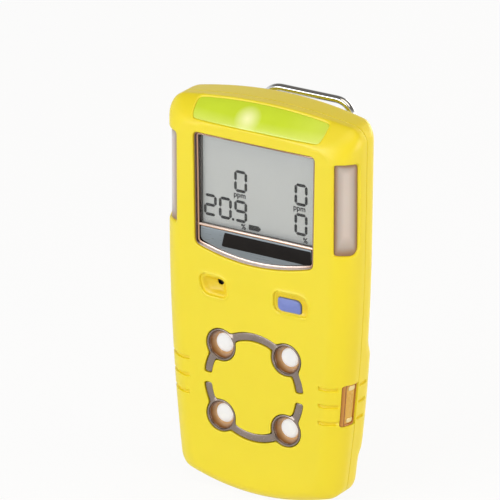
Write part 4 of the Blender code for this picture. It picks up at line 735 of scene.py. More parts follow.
def inlay(surface, outer, holes, points, top, floor, edge, lip, room=0.45):
    """A closed plate between two depths below a surface, with rounded edges and openings.

    top is the depth of its outer face, or gives it at flat places; floor is the depth of its inner face.
    """
    verts, faces, uppers, lowers = [], [], [], []
    shaped = top if callable(top) else lambda flat: top

    def add(flat, depth):
        start = sum(map(len, verts))
        verts.append(surface.at(flat, depth))
        return np.arange(start, start + len(flat))

    lips = np.broadcast_to(lip, len(holes))
    for number, loop in enumerate([outer] + list(holes)):
        sense, radius = (1, edge) if number == 0 else (-1, lips[number - 1])
        base = offset(loop, -sense * radius)
        rows, first = [], None
        for k in range(ROUND_STEPS + 1):
            angle = math.pi / 2 * k / ROUND_STEPS
            flat = base + (loop - base) * math.sin(angle)
            first = flat if first is None else first
            rows.append(add(flat, shaped(flat) + radius * (1 - math.cos(angle))))
        rows.append(add(loop, floor))
        faces += bands(rows)
        uppers.append((first, rows[0]))
        lowers.append((loop, rows[-1]))
    guards = [offset(loop, GUARD if n else -GUARD) for n, (loop, _) in enumerate(uppers)]
    for side, depth, loose in ((uppers, shaped, points), (lowers, lambda flat: floor, points[::3])):
        loops = [loop for loop, _ in side]
        inner = clear_points(loose, loops, room)
        if side is uppers:
            rings = clear_points(np.vstack(guards), loops, GUARD_ROOM)
            inner = np.vstack((clear_points(inner, [loops[0]] + guards[1:], GUARD_CLEAR), rings))
        ids = np.concatenate([index for _, index in side] + [add(inner, depth(inner))])
        faces += ids[fill(loops, inner)].tolist()
    return np.vstack(verts), faces


def distance_to(points, loop):
    """Distance of points inside a loop from its edge; negative outside."""
    a, b = loop, np.roll(loop, -1, 0)
    span = b - a
    least = np.full(len(points), np.inf)
    for start, along in zip(a, span):
        share = np.clip(((points - start) @ along) / max(along @ along, 1e-12), 0, 1)
        least = np.minimum(least, np.linalg.norm(points - start - share[:, None] * along, axis=1))
    return np.where(inside(points, loop), least, -least)


def depth_below(surface, points):
    """How deep points lie below the surface."""
    deep = (points[:, 1] - surface.cap(points[:, 0], points[:, 2])) * surface.facing
    for k in np.flatnonzero(~inside(points[:, [0, 2]], surface.border)):
        deep[k] = surface.space_tree.find_nearest(points[k])[3]
    return deep


def seam_tongue(s):
    """A low ring on the front half that closes the seam to light."""
    outer, inner, root = 0.4, 1.1, -0.1
    rows = []
    for inset, rise in ((outer, root), (inner, root), (inner, s.gap), (outer, s.gap)):
        loop = outline(s, inset, inset, inset, inset)
        rows.append(np.column_stack((loop[:, 0], [seam_y(s, z) + rise for z in loop[:, 1]], loop[:, 1])))
    index = np.arange(4 * len(loop)).reshape(4, -1)
    return np.vstack(rows), bands([*index, index[0]])


def ramp(value, start, end):
    """A smooth step from 0 at start to 1 at end."""
    share = np.clip((value - start) / (end - start), 0, 1)
    return share * share * (3 - 2 * share)


def buzzer_recess(s):
    """Outline of the hollow round the sound hole, its corners measured from the hole."""
    corners = np.array([(-5.2, -4.1), (3.4, -4.2), (2.7, 1.9), (-6.3, 2.3)])
    return rounded(corners + (s.hole_x, s.hole_height), [3.4, 1.9, 2.4, 2.1], 0.3)


def button_recess(s):
    """Outline of the hollow round the button, its corners measured from the button's middle."""
    corners = np.array([(-5.0, -2.5), (6.2, -2.5), (6.0, 3.8), (-4.8, 3.8)])
    return rounded(corners + (s.button_x, s.button_height), [2.4, 1.6, 3.0, 1.8], 0.3)


def button_loop(s, grow):
    """Outline of the button, one diagonal pair of its corners rounder."""
    half, tall = s.button_width / 2 + grow, s.button_tall / 2 + grow
    radii = [radius + grow for radius in (1.5, 0.6, 1.6, 0.6)]
    loop = rounded(rectangle(half, -tall, tall), radii, 0.35)
    return loop + (s.button_x, s.button_height)


def groove_heights(s):
    """Heights of the grip grooves."""
    return [s.groove_height + k * s.groove_pitch for k in (-1, 0, 1)]


def groove_dent(s, points, reach):
    """Depth of the grip grooves at points; reach says how far along they run, from 0 to 1."""
    dent = np.zeros(len(points))
    for z in groove_heights(s):
        off = np.abs(points[:, 2] - z) / (s.groove_width / 2)
        dent = np.maximum(dent, s.groove_depth * (1 - ramp(off, 0.6, 1.1)) * reach)
    return dent


def groove_rows(s, surface, spans):
    """Flat places dense enough to carry the grooves; spans are a flank and the depths along it."""
    rows = []
    for z in groove_heights(s):
        for sign, points in spans:
            for rise in GROOVE_ROWS * s.groove_width:
                rows.append(surface.place([(y, z + rise) for y in points], sign))
    return np.vstack(rows)


# Finishes

# Span that a noise's values mostly fill, and how strongly its relief shows
NOISE_RANGE = (0.3, 0.7)
BUMP_STRENGTH = 0.6


def add_node(tree, kind, feeds=None, stops=(), **settings):
    """Add a node with its settings, its colour stops and what feeds its sockets."""
    node = tree.nodes.new(kind)
    for key, value in settings.items():
        setattr(node, key, value)
    for k, (place, shade) in enumerate(stops):
        element = node.color_ramp.elements[k] if k < 2 else node.color_ramp.elements.new(place)
        element.position = place
        element.color = (*shade, 1)
    for key, value in (feeds or {}).items():
        if isinstance(value, bpy.types.NodeSocket):
            tree.links.new(value, node.inputs[key])
        else:
            node.inputs[key].default_value = value
    return node


def shaded(shade, share):
    """A colour made lighter or darker."""
    return tuple(min(c * share, 1) for c in shade)


def surface_finish(name, shade, spread, roughness, grain, relief, stretch=(1, 1, 1), cloud=18.0, **shader):
    """A finish with two close tones, uneven gloss and a fine relief.

    spread is the tone's variation and roughness its two ends. grain, relief and cloud are in millimetres.
    """
    made = bpy.data.materials.get(name)
    if made:
        return made
    made = bpy.data.materials.new(name)
    made.use_nodes = True
    tree = made.node_tree
    base = tree.nodes["Principled BSDF"]
    where = add_node(tree, "ShaderNodeTexCoord")
    scaled = add_node(tree, "ShaderNodeMapping", {"Vector": where.outputs["Object"], "Scale": stretch})
    drawn = scaled.outputs[0]
    wide = add_node(tree, "ShaderNodeTexNoise", {"Vector": drawn, "Scale": 1000 / cloud, "Detail": 3})
    fine = add_node(tree, "ShaderNodeTexNoise", {"Vector": drawn, "Scale": 1000 / grain, "Detail": 2})
    low, high = NOISE_RANGE
    stops = ((low, shaded(shade, 1 - spread)), (high, shaded(shade, 1 + spread)))
    tone = add_node(tree, "ShaderNodeValToRGB", {"Fac": wide.outputs["Fac"]}, stops)
    gloss = add_node(tree, "ShaderNodeMapRange",
                     {"Value": fine.outputs["Fac"], "From Min": low, "From Max": high,
                      "To Min": roughness[0], "To Max": roughness[1]})
    bump = add_node(tree, "ShaderNodeBump", {"Height": fine.outputs["Fac"], "Strength": BUMP_STRENGTH,
                                             "Distance": relief / 1000})
    tree.links.new(tone.outputs[0], base.inputs["Base Color"])
    tree.links.new(gloss.outputs[0], base.inputs["Roughness"])
    tree.links.new(bump.outputs[0], base.inputs["Normal"])
    for key, value in shader.items():
        base.inputs[key.replace("_", " ")].default_value = value
    made.diffuse_color = (*shade, 1)
    return made


def laid_over(made, shade, share, blend="MIX"):
    """Lay a colour over a finish by a share from 0 to 1; either may be the socket that gives it."""
    tree = made.node_tree
    base = tree.nodes["Principled BSDF"].inputs["Base Color"]
    feeds = {0: share, 1: base.links[0].from_socket, 2: shade}
    mix = add_node(tree, "ShaderNodeMixRGB", feeds, blend_type=blend)
    tree.links.new(mix.outputs[0], base)
    return mix.outputs[0]


def toned_over(made, value, stops, share, blend="MIX"):
    """Lay the colours of some stops, picked by a value from 0 to 1, over a finish."""
    tones = add_node(made.node_tree, "ShaderNodeValToRGB", {"Fac": value}, stops)
    laid_over(made, tones.outputs[0], share, blend)


def mark(piece, name, values):
    """Give a piece's points a value under a name."""
    layer = piece.data.attributes.new(name, "FLOAT", "POINT")
    layer.data.foreach_set("value", np.clip(values, 0, 1).astype(np.float32))


def share_along(made, axis, start, end):
    """How far a place lies between two millimetre values of the case's frame, from 0 to 1."""
    s = sizes()
    shift = {"X": 0, "Y": s.clip_front, "Z": s.grip_height}[axis]
    where = add_node(made.node_tree, "ShaderNodeTexCoord")
    parts = add_node(made.node_tree, "ShaderNodeSeparateXYZ", {0: where.outputs["Object"]})
    return add_node(made.node_tree, "ShaderNodeMapRange",
                    {"Value": parts.outputs[axis], "From Min": (start - shift) / 1000,
                     "From Max": (end - shift) / 1000}).outputs[0]


def case_finish():
    """Injection-moulded ABS: satin yellow with a fine eroded grain, with painted shade that deepens its tone
    towards orange in its hollows.

    The real grain is about 0.1 mm, and is drawn coarser to show.
    """
    made = bpy.data.materials.get("moulded_yellow_abs")
    if made:
        return made
    made = surface_finish("moulded_yellow_abs", tint("case"), 0.015, (0.36, 0.46), 0.35, 0.012, cloud=30.0,
                          Subsurface_Weight=0.08, Subsurface_Radius=(0.004, 0.002, 0.0006),
                          Subsurface_Scale=0.4, Specular_IOR_Level=0.6)
    # Painted shade: the deeper a point lies below the surface, the more its yellow is multiplied towards
    # orange
    hollow = add_node(made.node_tree, "ShaderNodeAttribute", attribute_name="hollow")
    stops = ((0.24, (1, 1, 1)), (0.9, (0.96, 0.84, 0.12)))
    toned_over(made, hollow.outputs["Fac"], stops, 1.0, "MULTIPLY")
    return made


def lens_finish():
    """Clear green polycarbonate lit from behind: whitest over its lamp, paler low down and to the right."""
    made = bpy.data.materials.get("lit_green_polycarbonate")
    if made:
        return made
    made = surface_finish("lit_green_polycarbonate", tint("green"), 0.1, (0.16, 0.24), 1.2, 0.004, cloud=7.0,
                          Emission_Strength=0.14, IOR=1.5, Specular_IOR_Level=0.3)
    stops = ((0.0, linear("#DCE38A")), (0.45, tint("green")))
    toned_over(made, share_along(made, "Z", 106.5, 112.8), stops, 0.55)
    stops = ((0.0, tint("green")), (1.0, linear("#DDE57A")))
    toned_over(made, share_along(made, "X", 8, 22), stops, 0.3)
    tree = made.node_tree
    lamp, reach = (-0.003, -0.0183, 0.0588), 0.0042
    where = add_node(tree, "ShaderNodeTexCoord")
    away = add_node(tree, "ShaderNodeVectorMath", {0: where.outputs["Object"], 1: lamp}, operation="DISTANCE")
    near = add_node(tree, "ShaderNodeMapRange", {"Value": away.outputs["Value"], "From Max": reach,
                                                 "To Min": 0.95, "To Max": 0.0})
    glow = laid_over(made, (*linear("#F0F2B8"), 1), near.outputs[0])
    tree.links.new(glow, tree.nodes["Principled BSDF"].inputs["Emission Color"])
    return made


def frost_finish():
    """Frosted clear polycarbonate: milky in the middle, with painted shade that turns it brown towards its
    edges and along its foot.

    The frosting is drawn coarser than the real one to show.
    """
    made = bpy.data.materials.get("frosted_polycarbonate")
    if made:
        return made
    made = surface_finish("frosted_polycarbonate", tint("frost"), 0.05, (0.3, 0.42), 0.5, 0.03, cloud=6.0,
                          Subsurface_Weight=0.2, Subsurface_Scale=0.002, IOR=1.5)
    # Painted shade: brown near the lens's edges and along its foot, milky in its middle
    rim = add_node(made.node_tree, "ShaderNodeAttribute", attribute_name="rim")
    stops = ((0.0, linear("#7A5634")), (0.16, linear("#946F4B")), (0.42, linear("#B3A69E")),
             (0.9, linear("#D0C5BE")))
    toned_over(made, rim.outputs["Fac"], stops, 0.9)
    return made


def trim_finish():
    """Plated taupe nylon: a dull metal sheen over a faint flow pattern."""
    return surface_finish("moulded_taupe_nylon", tint("trim"), 0.12, (0.18, 0.28), 0.4, 0.004, cloud=6.0,
                          Metallic=0.7)


# Case, lenses and trims

# Rims of the recesses: rise, foot and crest of the low ridge outside, depth and run of the step inside
RIDGE_RISE = 0.14
RIDGE_FOOT = -0.75
RIDGE_CREST = -0.3
STEP_DEPTH = 0.5
STEP_RUN = 0.22
# Floors of the recesses: where the slope below the step starts, and its end by the button and in the bowl
FLOOR_START = 0.5
FLOOR_END = 1.0
BOWL_END = 1.9
# Bowl round the sound hole: depth below the step, further depth in the middle, and the slope between
BOWL_STEP = 0.5
BOWL_DEPTH = 0.9
BOWL_FLOOR = 0.6
BOWL_EDGE = 5.5
# Reach round a recess's middle and round the clip's pad in which their shape is worked out
RECESS_REACH = 9
PAD_REACH = 1.5
# Points along a groove on the face, from its start and from its end
GROOVE_STARTS = np.array((-0.3, -0.05, 0.08, 0.2, 0.35, 0.6))
GROOVE_ENDS = np.array((-0.35, -0.2, -0.08, 0.05, 0.3))
# Depths of the lenses and trims below the case's surface, and what the trims' dome and collars rise
LENS_SINK = 0.4
SIDE_LENS_SINK = 0.7
TRIM_SINK = 0.55
TRIM_FLOOR = 2.35
TRIM_DOME = 0.12
COLLAR_RISE = 0.2
# Radii of the rings of points that carry a collar
COLLAR_RINGS = (4.32, 4.55, 4.8)
# How far openings are grown for the trims and the button, and how far the button is drawn in
TRIM_FIT = 0.2
BUTTON_FIT = 0.04
BUTTON_SLACK = -0.03


def front_points(s, surface):
    """Loose places that carry the front half's curves, recesses and grooves."""
    groove = np.linspace(s.charge_near - 0.6, seam_y(s, s.groove_height) - RIM_EDGE, 12)
    rows = groove_rows(s, surface, [(-1, groove)])
    middle = np.arange(s.groove_inner + 0.95, s.groove_outer - 0.5, 0.4)
    spots = np.concatenate((s.groove_inner + GROOVE_STARTS, middle, s.groove_outer + GROOVE_ENDS))
    flats = []
    for z in groove_heights(s):
        for rise in GROOVE_ROWS * s.groove_width:
            flats += [(sign * x, z + rise) for sign in (-1, 1) for x in spots]
    dense = [surface.place(flats), rows]
    for loop in (buzzer_recess(s), button_recess(s)):
        dense += [offset(loop, away) for away in RIM_ROWS]
        dense.append(clear_points(hexagons(loop, 0.4), [offset(loop, -0.95)], 0.2))
    dense = np.vstack(dense)
    rough = np.vstack((hexagons(surface.border, FACE_GRID), surface.flat))
    return np.vstack((dense, away_from(rough, dense, ROW_ROOM)))


def notched_rim(s, surface):
    """The front half's rim on the flat surface, cut away at the charging recess."""
    low, high, near, bend = s.charge_low, s.charge_high, s.charge_near, 0.7
    rim = surface.rim
    right = (surface.rim_space[:, 0] > 0) & (surface.rim_space[:, 2] > low - 0.4)
    right &= surface.rim_space[:, 2] < high + 0.4
    index = np.flatnonzero(right)
    ends = [seam_y(s, z) - 0.03 for z in (low, high)]
    notch = [(y, low) for y in np.linspace(ends[0], near + bend, 7)[:-1]]
    notch += list(arc((near + bend, low + bend), bend, 3 * math.pi / 2, math.pi, 5))
    notch += [(near, z) for z in np.linspace(low + bend, high - bend, 14)[1:-1]]
    notch += list(arc((near + bend, high - bend), bend, math.pi, math.pi / 2, 5))
    notch += [(y, high) for y in np.linspace(near + bend, ends[1], 7)[1:]]
    return np.vstack((rim[:index[0]], surface.place(notch, 1), rim[index[-1] + 1:]))


def recess_depth(s, flat, loop, hole=None):
    """Depth of a recess at flat places: ridge, step and floor, with a bowl where it has a hole."""
    depth = distance_to(flat, loop)
    ridge = ramp(depth, RIDGE_FOOT, RIDGE_CREST) * (1 - ramp(depth, RIDGE_CREST, 0.0))
    step = STEP_DEPTH * ramp(depth, 0.0, STEP_RUN) - RIDGE_RISE * ridge
    if hole is None:
        return step + (s.recess - STEP_DEPTH) * ramp(depth, FLOOR_START, FLOOR_END)
    away = np.linalg.norm(flat - hole, axis=1)
    deep = BOWL_STEP + BOWL_DEPTH * (1 - ramp(away, BOWL_FLOOR, BOWL_EDGE))
    return step + deep * ramp(depth, FLOOR_START, BOWL_END)


class DETECTOR_OT_front_shell(bpy.types.Operator):
    """Front half of the case with its openings, recesses and grip grooves"""
    bl_idname = "detector.front_shell"
    bl_label = "Front shell"

    def execute(self, context):
        s = sizes()
        surface = skin("front")
        hole = np.array((s.hole_x, s.hole_height))
        recesses = ((buzzer_recess(s), hole), (button_recess(s), None))

        def top(flat):
            space = surface.at(flat, 0)
            x, y, z = space.T
            reach = ramp(np.abs(x), s.groove_inner - 0.05, s.groove_inner + 0.3)
            reach *= np.where(x > 0, 1 - ramp(x, s.groove_outer - 0.35, s.groove_outer), 1)
            dent = groove_dent(s, space, reach)
            dish = ramp(z, s.dish_low, s.dish_low + 6) * (1 - ramp(z, s.dish_high - 4, s.dish_high))
            dent += s.dish * dish * (1 - ramp(np.abs(x), s.groove_inner - 3, s.groove_inner + 2))
            above = flat[:, 1] > s.port_height
            for loop, bowl in recesses:
                near = above & (np.abs(flat - loop.mean(axis=0)) < RECESS_REACH).all(axis=1)
                if near.any():
                    dent[near] += recess_depth(s, flat[near], loop, bowl)
            return dent

        holes = [window_loop(s), lens_loop(s)]
        holes += [side_lens_loop(s, sign) for sign in (-1, 1)]
        holes += [trim_loop(s, sign, TRIM_FIT) for sign in (1, -1)]
        holes += [button_loop(s, BUTTON_FIT), circle(hole, s.hole_radius, 20)]
        # Rounding of each opening, in shares of the general one
        lips = np.array((1, 1.4, 1.6, 1.6, 0.6, 0.6, 0.35, 0.6)) * s.edge
        shell = inlay(surface, notched_rim(s, surface), holes, front_points(s, surface), top, s.wall,
                      RIM_EDGE, lips)
        points, faces = together(shell, seam_tongue(s))
        made = as_piece("front_case", points, faces, "yellow_case", case_finish(), ["front_shell"])
        # How deep each point lies below the surface, which the case's finish turns into painted shade
        mark(made, "hollow", depth_below(surface, points))
        return {"FINISHED"}


class DETECTOR_OT_rear_shell(bpy.types.Operator):
    """Rear half of the case with its screw pockets and the pad under the clip"""
    bl_idname = "detector.rear_shell"
    bl_label = "Rear shell"

    def execute(self, context):
        s = sizes()
        surface = skin("rear")
        half = s.base_width / 2
        pad = rounded(rectangle(half, s.grip_height, s.base_top), [1.2] * 4, 0.7)

        def top(flat):
            space = surface.at(flat, 0)
            x, y, z = space.T
            start = np.array([seam_y(s, h) + s.gap for h in z])
            end = start + s.groove_rear
            reach = ramp(y, start + 0.4, start + 0.9) * (1 - ramp(y, end, end + 0.7))
            dent = groove_dent(s, space, reach * ramp(np.abs(x), s.groove_inner, s.groove_inner + 0.6))
            near = (np.abs(x) < half + PAD_REACH) & (z > s.grip_height - PAD_REACH)
            near &= z < s.base_top + PAD_REACH
            if near.any():
                depth = distance_to(flat[near], pad)
                dent[near] = ramp(depth, -0.1, 0.5) * (y[near] - s.pad_depth)
            return dent

        holes = [surface.place(circle(spot, s.screw_head + s.gap, 28)) for spot in posts(s)]
        holes.append(circle((0, s.screw_height), s.screw_radius + s.gap, 20))
        seam = seam_y(s, s.groove_height)
        groove = np.linspace(seam + 0.5, seam + 5.0, 12)
        dense = [groove_rows(s, surface, [(-1, groove), (1, groove)])]
        dense = np.vstack(dense + [offset(pad, away) for away in PAD_ROWS])
        rough = np.vstack((hexagons(surface.border, BACK_GRID), surface.flat))
        loose = np.vstack((dense, away_from(rough, dense, ROW_ROOM)))
        points, faces = inlay(surface, surface.rim, holes, loose, top, s.wall, RIM_EDGE, BACK_EDGE)
        made = as_piece("rear_case", points, faces, "yellow_case", case_finish(), ["rear_shell"])
        # How deep each point lies below the surface, which the case's finish turns into painted shade
        mark(made, "hollow", depth_below(surface, points))
        return {"FINISHED"}


class DETECTOR_OT_lenses(bpy.types.Operator):
    """Green lens over the display and the two frosted side lenses"""
    bl_idname = "detector.lenses"
    bl_label = "Alarm lenses"

    def execute(self, context):
        s = sizes()
        surface = skin("front")
        loop = offset(lens_loop(s), 0.02)
        shape = inlay(surface, loop, [], hexagons(loop, 0.8), LENS_SINK, LENS_SINK + s.lens_wall, 0.25, 0)
        as_piece("green_lens", *shape, "green_lens", lens_finish(), ["alarm_lens_top"])
        floor = SIDE_LENS_SINK + s.lens_wall
        for sign, name in ((-1, "left"), (1, "right")):
            loop = offset(side_lens_loop(s, sign), -0.02)
            points, faces = inlay(surface, loop, [], hexagons(loop, 0.7), SIDE_LENS_SINK, floor, 0.18, 0)
            made = as_piece(f"side_lens_{name}", points, faces, "frosted_lens", frost_finish(),
                            [f"alarm_lens_{name}"])
            # Painted shade mask: nearness to the lens's edge and to its foot, which its finish turns brown
            edge = surface.at(loop, SIDE_LENS_SINK)
            near = np.min([np.linalg.norm(points - spot, axis=1) for spot in edge], axis=0)
            near = np.minimum(near, (points[:, 2] - s.side_low) * 0.45)
            mark(made, "rim", near / 3)
        return {"FINISHED"}


class DETECTOR_OT_trims(bpy.types.Operator):
    """Two taupe trims, each with a raised collar round its ports"""
    bl_idname = "detector.trims"
    bl_label = "Sensor trims"

    def execute(self, context):
        s = sizes()
        surface = skin("front")
        for sign, name, own in ((1, "upper", ports(s)[:2]), (-1, "lower", ports(s)[2:])):
            loop = trim_loop(s, sign, 0)

            def top(flat):
                away = np.min([np.linalg.norm(flat - spot, axis=1) for spot in own], axis=0)
                collar = ramp(away, s.port_radius - 0.1, s.port_radius + 0.25)
                collar *= 1 - ramp(away, s.collar_radius - 0.2, s.collar_radius + 0.25)
                dome = ramp(distance_to(flat, loop), 0, 1.1)
                return TRIM_SINK - TRIM_DOME * dome - COLLAR_RISE * collar

            loose = [hexagons(loop, 0.4)]
            for spot in own:
                loose += [circle(spot, radius, 64) for radius in COLLAR_RINGS]
            holes = [circle(spot, s.port_radius, 64) for spot in own]
            shape = inlay(surface, loop, holes, np.vstack(loose), top, TRIM_FLOOR, 0.18, 0.2, 0.2)
            as_piece(f"trim_{name}", *shape, "taupe_trim", trim_finish(), [f"sensor_trim_{name}"])
        return {"FINISHED"}


# Turned, flat and swept shapes

def softened(points, radius, closed=False, steps=4):
    """A line of points with its corners eased by short curves."""
    points = np.asarray(points, float)
    made = []
    for k, here in enumerate(points):
        if not closed and k in (0, len(points) - 1):
            made.append(here[None])
            continue
        sides = [points[k - 1] - here, points[(k + 1) % len(points)] - here]
        ends = [here + side * min(radius / np.linalg.norm(side), 0.45) for side in sides]
        share = np.linspace(0, 1, steps + 1)[:, None]
        made.append((1 - share) ** 2 * ends[0] + 2 * share * (1 - share) * here + share * share * ends[1])
    return np.vstack(made)


def turned(profile, middle, axis="y", sides=48, closed=False, hexagon=0):
    """A turned solid from (radius, along) points; the last rows may be a hexagonal socket."""
    points, rows = [], []
    angles = np.arange(sides) * math.tau / sides
    for k, (radius, along) in enumerate(profile):
        reach = radius
        if k >= len(profile) - hexagon:
            reach = radius * math.cos(math.pi / 6) / np.cos(angles % (math.pi / 3) - math.pi / 6)
        ring = np.column_stack((reach * np.cos(angles), reach * np.sin(angles)))
        ring = ring[:1] * 0 if radius < 1e-6 else ring
        spots = np.insert(ring, 1 if axis == "y" else 0, along, axis=1) + middle
        rows.append(np.arange(len(points), len(points) + len(spots)))
        points.extend(spots)
    faces = []
    for a, b in list(zip(rows, rows[1:])) + ([(rows[-1], rows[0])] if closed else []):
        a, b = (row if len(row) > 1 else np.repeat(row, sides) for row in (a, b))
        for i in range(sides):
            faces.append(list(dict.fromkeys((a[i - 1], a[i], b[i], b[i - 1]))))
    return np.array(points), faces


def slab(loop, near, far, edge, axis="y"):
    """A plate of an outline between two depths, its edges eased."""
    turn = loop * np.roll(loop[:, ::-1], -1, 0)
    loop = loop if (turn[:, 0] - turn[:, 1]).sum() > 0 else loop[::-1]
    turns = [math.pi / 2 * k / 3 for k in range(4)]
    rows = [(edge * (1 - math.sin(a)), near + edge * (1 - math.cos(a))) for a in turns]
    rows += [(edge * (1 - math.sin(a)), far - edge * (1 - math.cos(a))) for a in reversed(turns)]
    place = 1 if axis == "y" else 0
    points = [np.insert(offset(loop, -inset), place, along, axis=1) for inset, along in rows]
    index = np.arange(len(rows) * len(loop)).reshape(len(rows), -1)
    return np.vstack(points), [index[0], index[-1]] + bands(index)


def together(*shapes):
    """Several shapes as one set of points and faces."""
    points, faces, start = [], [], 0
    for spots, sides in shapes:
        points.append(spots)
        faces += [[start + i for i in side] for side in sides]
        start += len(spots)
    return np.vstack(points), faces


def solid(points, faces, edges=()):
    """A working object from millimetre points."""
    mesh = new_mesh("working", points, faces, edges)
    bm = bmesh.new()
    bm.from_mesh(mesh)
    bmesh.ops.triangulate(bm, faces=bm.faces)
    bmesh.ops.recalc_face_normals(bm, faces=bm.faces)
    bm.to_mesh(mesh)
    bm.free()
    return new_object("working", mesh)


def evaluated(working, *helpers):
    """The finished mesh of a working object, which is removed with its helpers."""
    mesh = bpy.data.meshes.new_from_object(working.evaluated_get(bpy.context.evaluated_depsgraph_get()))
    for item in (working, *helpers):
        bpy.data.meshes.remove(item.data)
    return mesh


def cut_and_joined(base, joins, cuts):
    """A mesh with shapes joined to it and others cut out of it."""
    working = solid(*base)
    helpers = []
    for shape, operation in [(j, "UNION") for j in joins] + [(c, "DIFFERENCE") for c in cuts]:
        helper = solid(*shape)
        helper.hide_render = True
        modifier = working.modifiers.new(operation, "BOOLEAN")
        modifier.operation = operation
        modifier.solver = "EXACT"
        modifier.object = helper
        helpers.append(helper)
    mesh = evaluated(working, *helpers)
    bm = bmesh.new()
    bm.from_mesh(mesh)
    bmesh.ops.remove_doubles(bm, verts=bm.verts, dist=2e-6)
    bmesh.ops.dissolve_degenerate(bm, edges=bm.edges, dist=2e-6)
    bmesh.ops.triangulate(bm, faces=bm.faces)
    bm.to_mesh(mesh)
    bm.free()
    return mesh


def node_group(name, inputs):
    """A geometry node tree with named inputs, and the identifiers of those inputs."""
    tree = bpy.data.node_groups.new(name, "GeometryNodeTree")
    tree.interface.new_socket("Geometry", in_out="INPUT", socket_type="NodeSocketGeometry")
    found = {key: tree.interface.new_socket(key, in_out="INPUT", socket_type=kind).identifier
             for key, kind in inputs.items()}
    tree.interface.new_socket("Geometry", in_out="OUTPUT", socket_type="NodeSocketGeometry")
    return tree, add_node(tree, "NodeGroupInput").outputs, found


def run_nodes(working, tree, found, values, *helpers):
    """Run a node tree on a working object and take the plain mesh."""
    modifier = working.modifiers.new("nodes", "NODES")
    modifier.node_group = tree
    for key, value in values.items():
        modifier[found[key]] = value
    return evaluated(working, *helpers)


def end_tree(tree, shape, finish):
    """End a node tree in realised instances with their material."""
    real = add_node(tree, "GeometryNodeRealizeInstances", {"Geometry": shape})
    last = add_node(tree, "GeometryNodeSetMaterial", {"Geometry": real.outputs[0], "Material": finish})
    add_node(tree, "NodeGroupOutput", {"Geometry": last.outputs[0]})


def repeated(shape, spots, material):
    """Copies of a shape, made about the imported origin, set on points by geometry nodes."""
    s = sizes()
    inputs = {"Item": "NodeSocketObject", "Finish": "NodeSocketMaterial"}
    tree, given, found = node_group("set_on_points", inputs)
    item = add_node(tree, "GeometryNodeObjectInfo", {"Object": given["Item"]})
    placed = add_node(tree, "GeometryNodeInstanceOnPoints", {"Points": given["Geometry"],
                                                             "Instance": item.outputs["Geometry"]})
    end_tree(tree, placed.outputs[0], given["Finish"])
    helper = solid(shape[0] + (0, s.clip_front, s.grip_height), shape[1])
    return run_nodes(solid(spots, []), tree, found, {"Item": helper, "Finish": material}, helper)


def tube(path, thickness, material, closed=False):
    """A round wire along a path, swept by geometry nodes."""
    inputs = {"Radius": "NodeSocketFloat", "Sides": "NodeSocketInt", "Finish": "NodeSocketMaterial"}
    tree, given, found = node_group("wire_along_path", inputs)
    line = add_node(tree, "GeometryNodeMeshToCurve", {"Mesh": given["Geometry"]})
    ring = add_node(tree, "GeometryNodeCurvePrimitiveCircle", {"Resolution": given["Sides"],
                                                               "Radius": given["Radius"]})
    feeds = {"Curve": line.outputs[0], "Profile Curve": ring.outputs[0], "Fill Caps": True}
    wire = add_node(tree, "GeometryNodeCurveToMesh", feeds)
    end_tree(tree, wire.outputs[0], given["Finish"])
    edges = [(i, i + 1) for i in range(len(path) - 1)] + ([(len(path) - 1, 0)] if closed else [])
    values = {"Radius": thickness / 2000, "Sides": 24, "Finish": material}
    return run_nodes(solid(path, [], edges), tree, found, values)


# Display, ports and controls

# Frame's section as inset, depth and 1 where it follows the face's crown, and the bar's as depth and rise
FRAME_SECTION = ((0.12, 2.75, 0), (0.12, 0.8, 1), (0.17, 0.55, 1), (0.3, 0.46, 1), (0.42, 0.55, 1),
                 (0.48, 0.75, 1), (0.55, 1.4, 0), (0.62, 1.5, 0), (0.78, 1.44, 0), (0.95, 1.52, 0),
                 (1.03, 1.72, 0), (1.08, 2.75, 0))
BAR_SECTION = ((2.7, -0.42), (1.62, -0.42), (1.36, 0), (1.62, 0.42), (2.7, 0.42))
# Depths of the outer and inner faces of what lies in the window
PANE_DEPTHS = (1.75, 2.4)
LABEL_DEPTHS = (1.6, 2.4)
BAND_DEPTHS = (1.54, 1.64)
PANEL_DEPTHS = (3.1, 4.7)
DRAWN_DEPTHS = (3.04, 3.14)
# Heights of the label's printed band, and where its left end lies below and above
BAND_LOW = 71.3
BAND_HIGH = 75.4
BAND_LEFT = (-10.9, -9.9)
# Display panel's half width, foot and top
PANEL_PLAN = (18.6, 75.3, 103.4)
# Digits with their middles across and up, and the width, height and stroke of each
DIGITS = (("0", -5.7, 90.5), ("0", 13.4, 90.5), ("0", 13.4, 82.0), ("2", -15.4, 81.9), ("0", -10.6, 81.9),
          ("9", -5.7, 81.9))
DIGIT_WIDTH = 4.1
DIGIT_TALL = 6.3
DIGIT_STROKE = 0.82
# Units with their middles, and their height
UNITS = (("ppm", -6.0, 86.55), ("ppm", 12.9, 86.55), ("%", -4.8, 77.6), ("%", 14.8, 77.6))
UNIT_TALL = 2.2
# Sections of a port's wall and of a filter disc, as radius and depth
PORT_WALL = ((3.96, 0.62), (3.72, 0.8), (3.05, 2.3), (2.74, 2.6), (2.8, 2.75), (3.3, 2.7), (3.97, 1.6))
FILTER_DISC = ((0, 2.12), (1.1, 2.13), (1.8, 2.18), (2.35, 2.28), (2.66, 2.44), (2.76, 2.66), (3.08, 2.8),
               (3.08, 3.2), (0, 3.2))
# Depths of the button's top and inner face, and how far its top falls to the edge
BUTTON_SINK = 0.18
BUTTON_FALL = 0.2
BUTTON_FLOOR = 1.8
# Depths in the charging recess: tray's brim, its fall to the well, its floor, the plate and the contacts
BRIM_SINK = 0.28
BRIM_FALL = 0.22
TRAY_FLOOR = 1.9
PLATE_SINK = 0.8
CONTACT_SINK = 0.6
CONTACT_FLOOR = 1.0


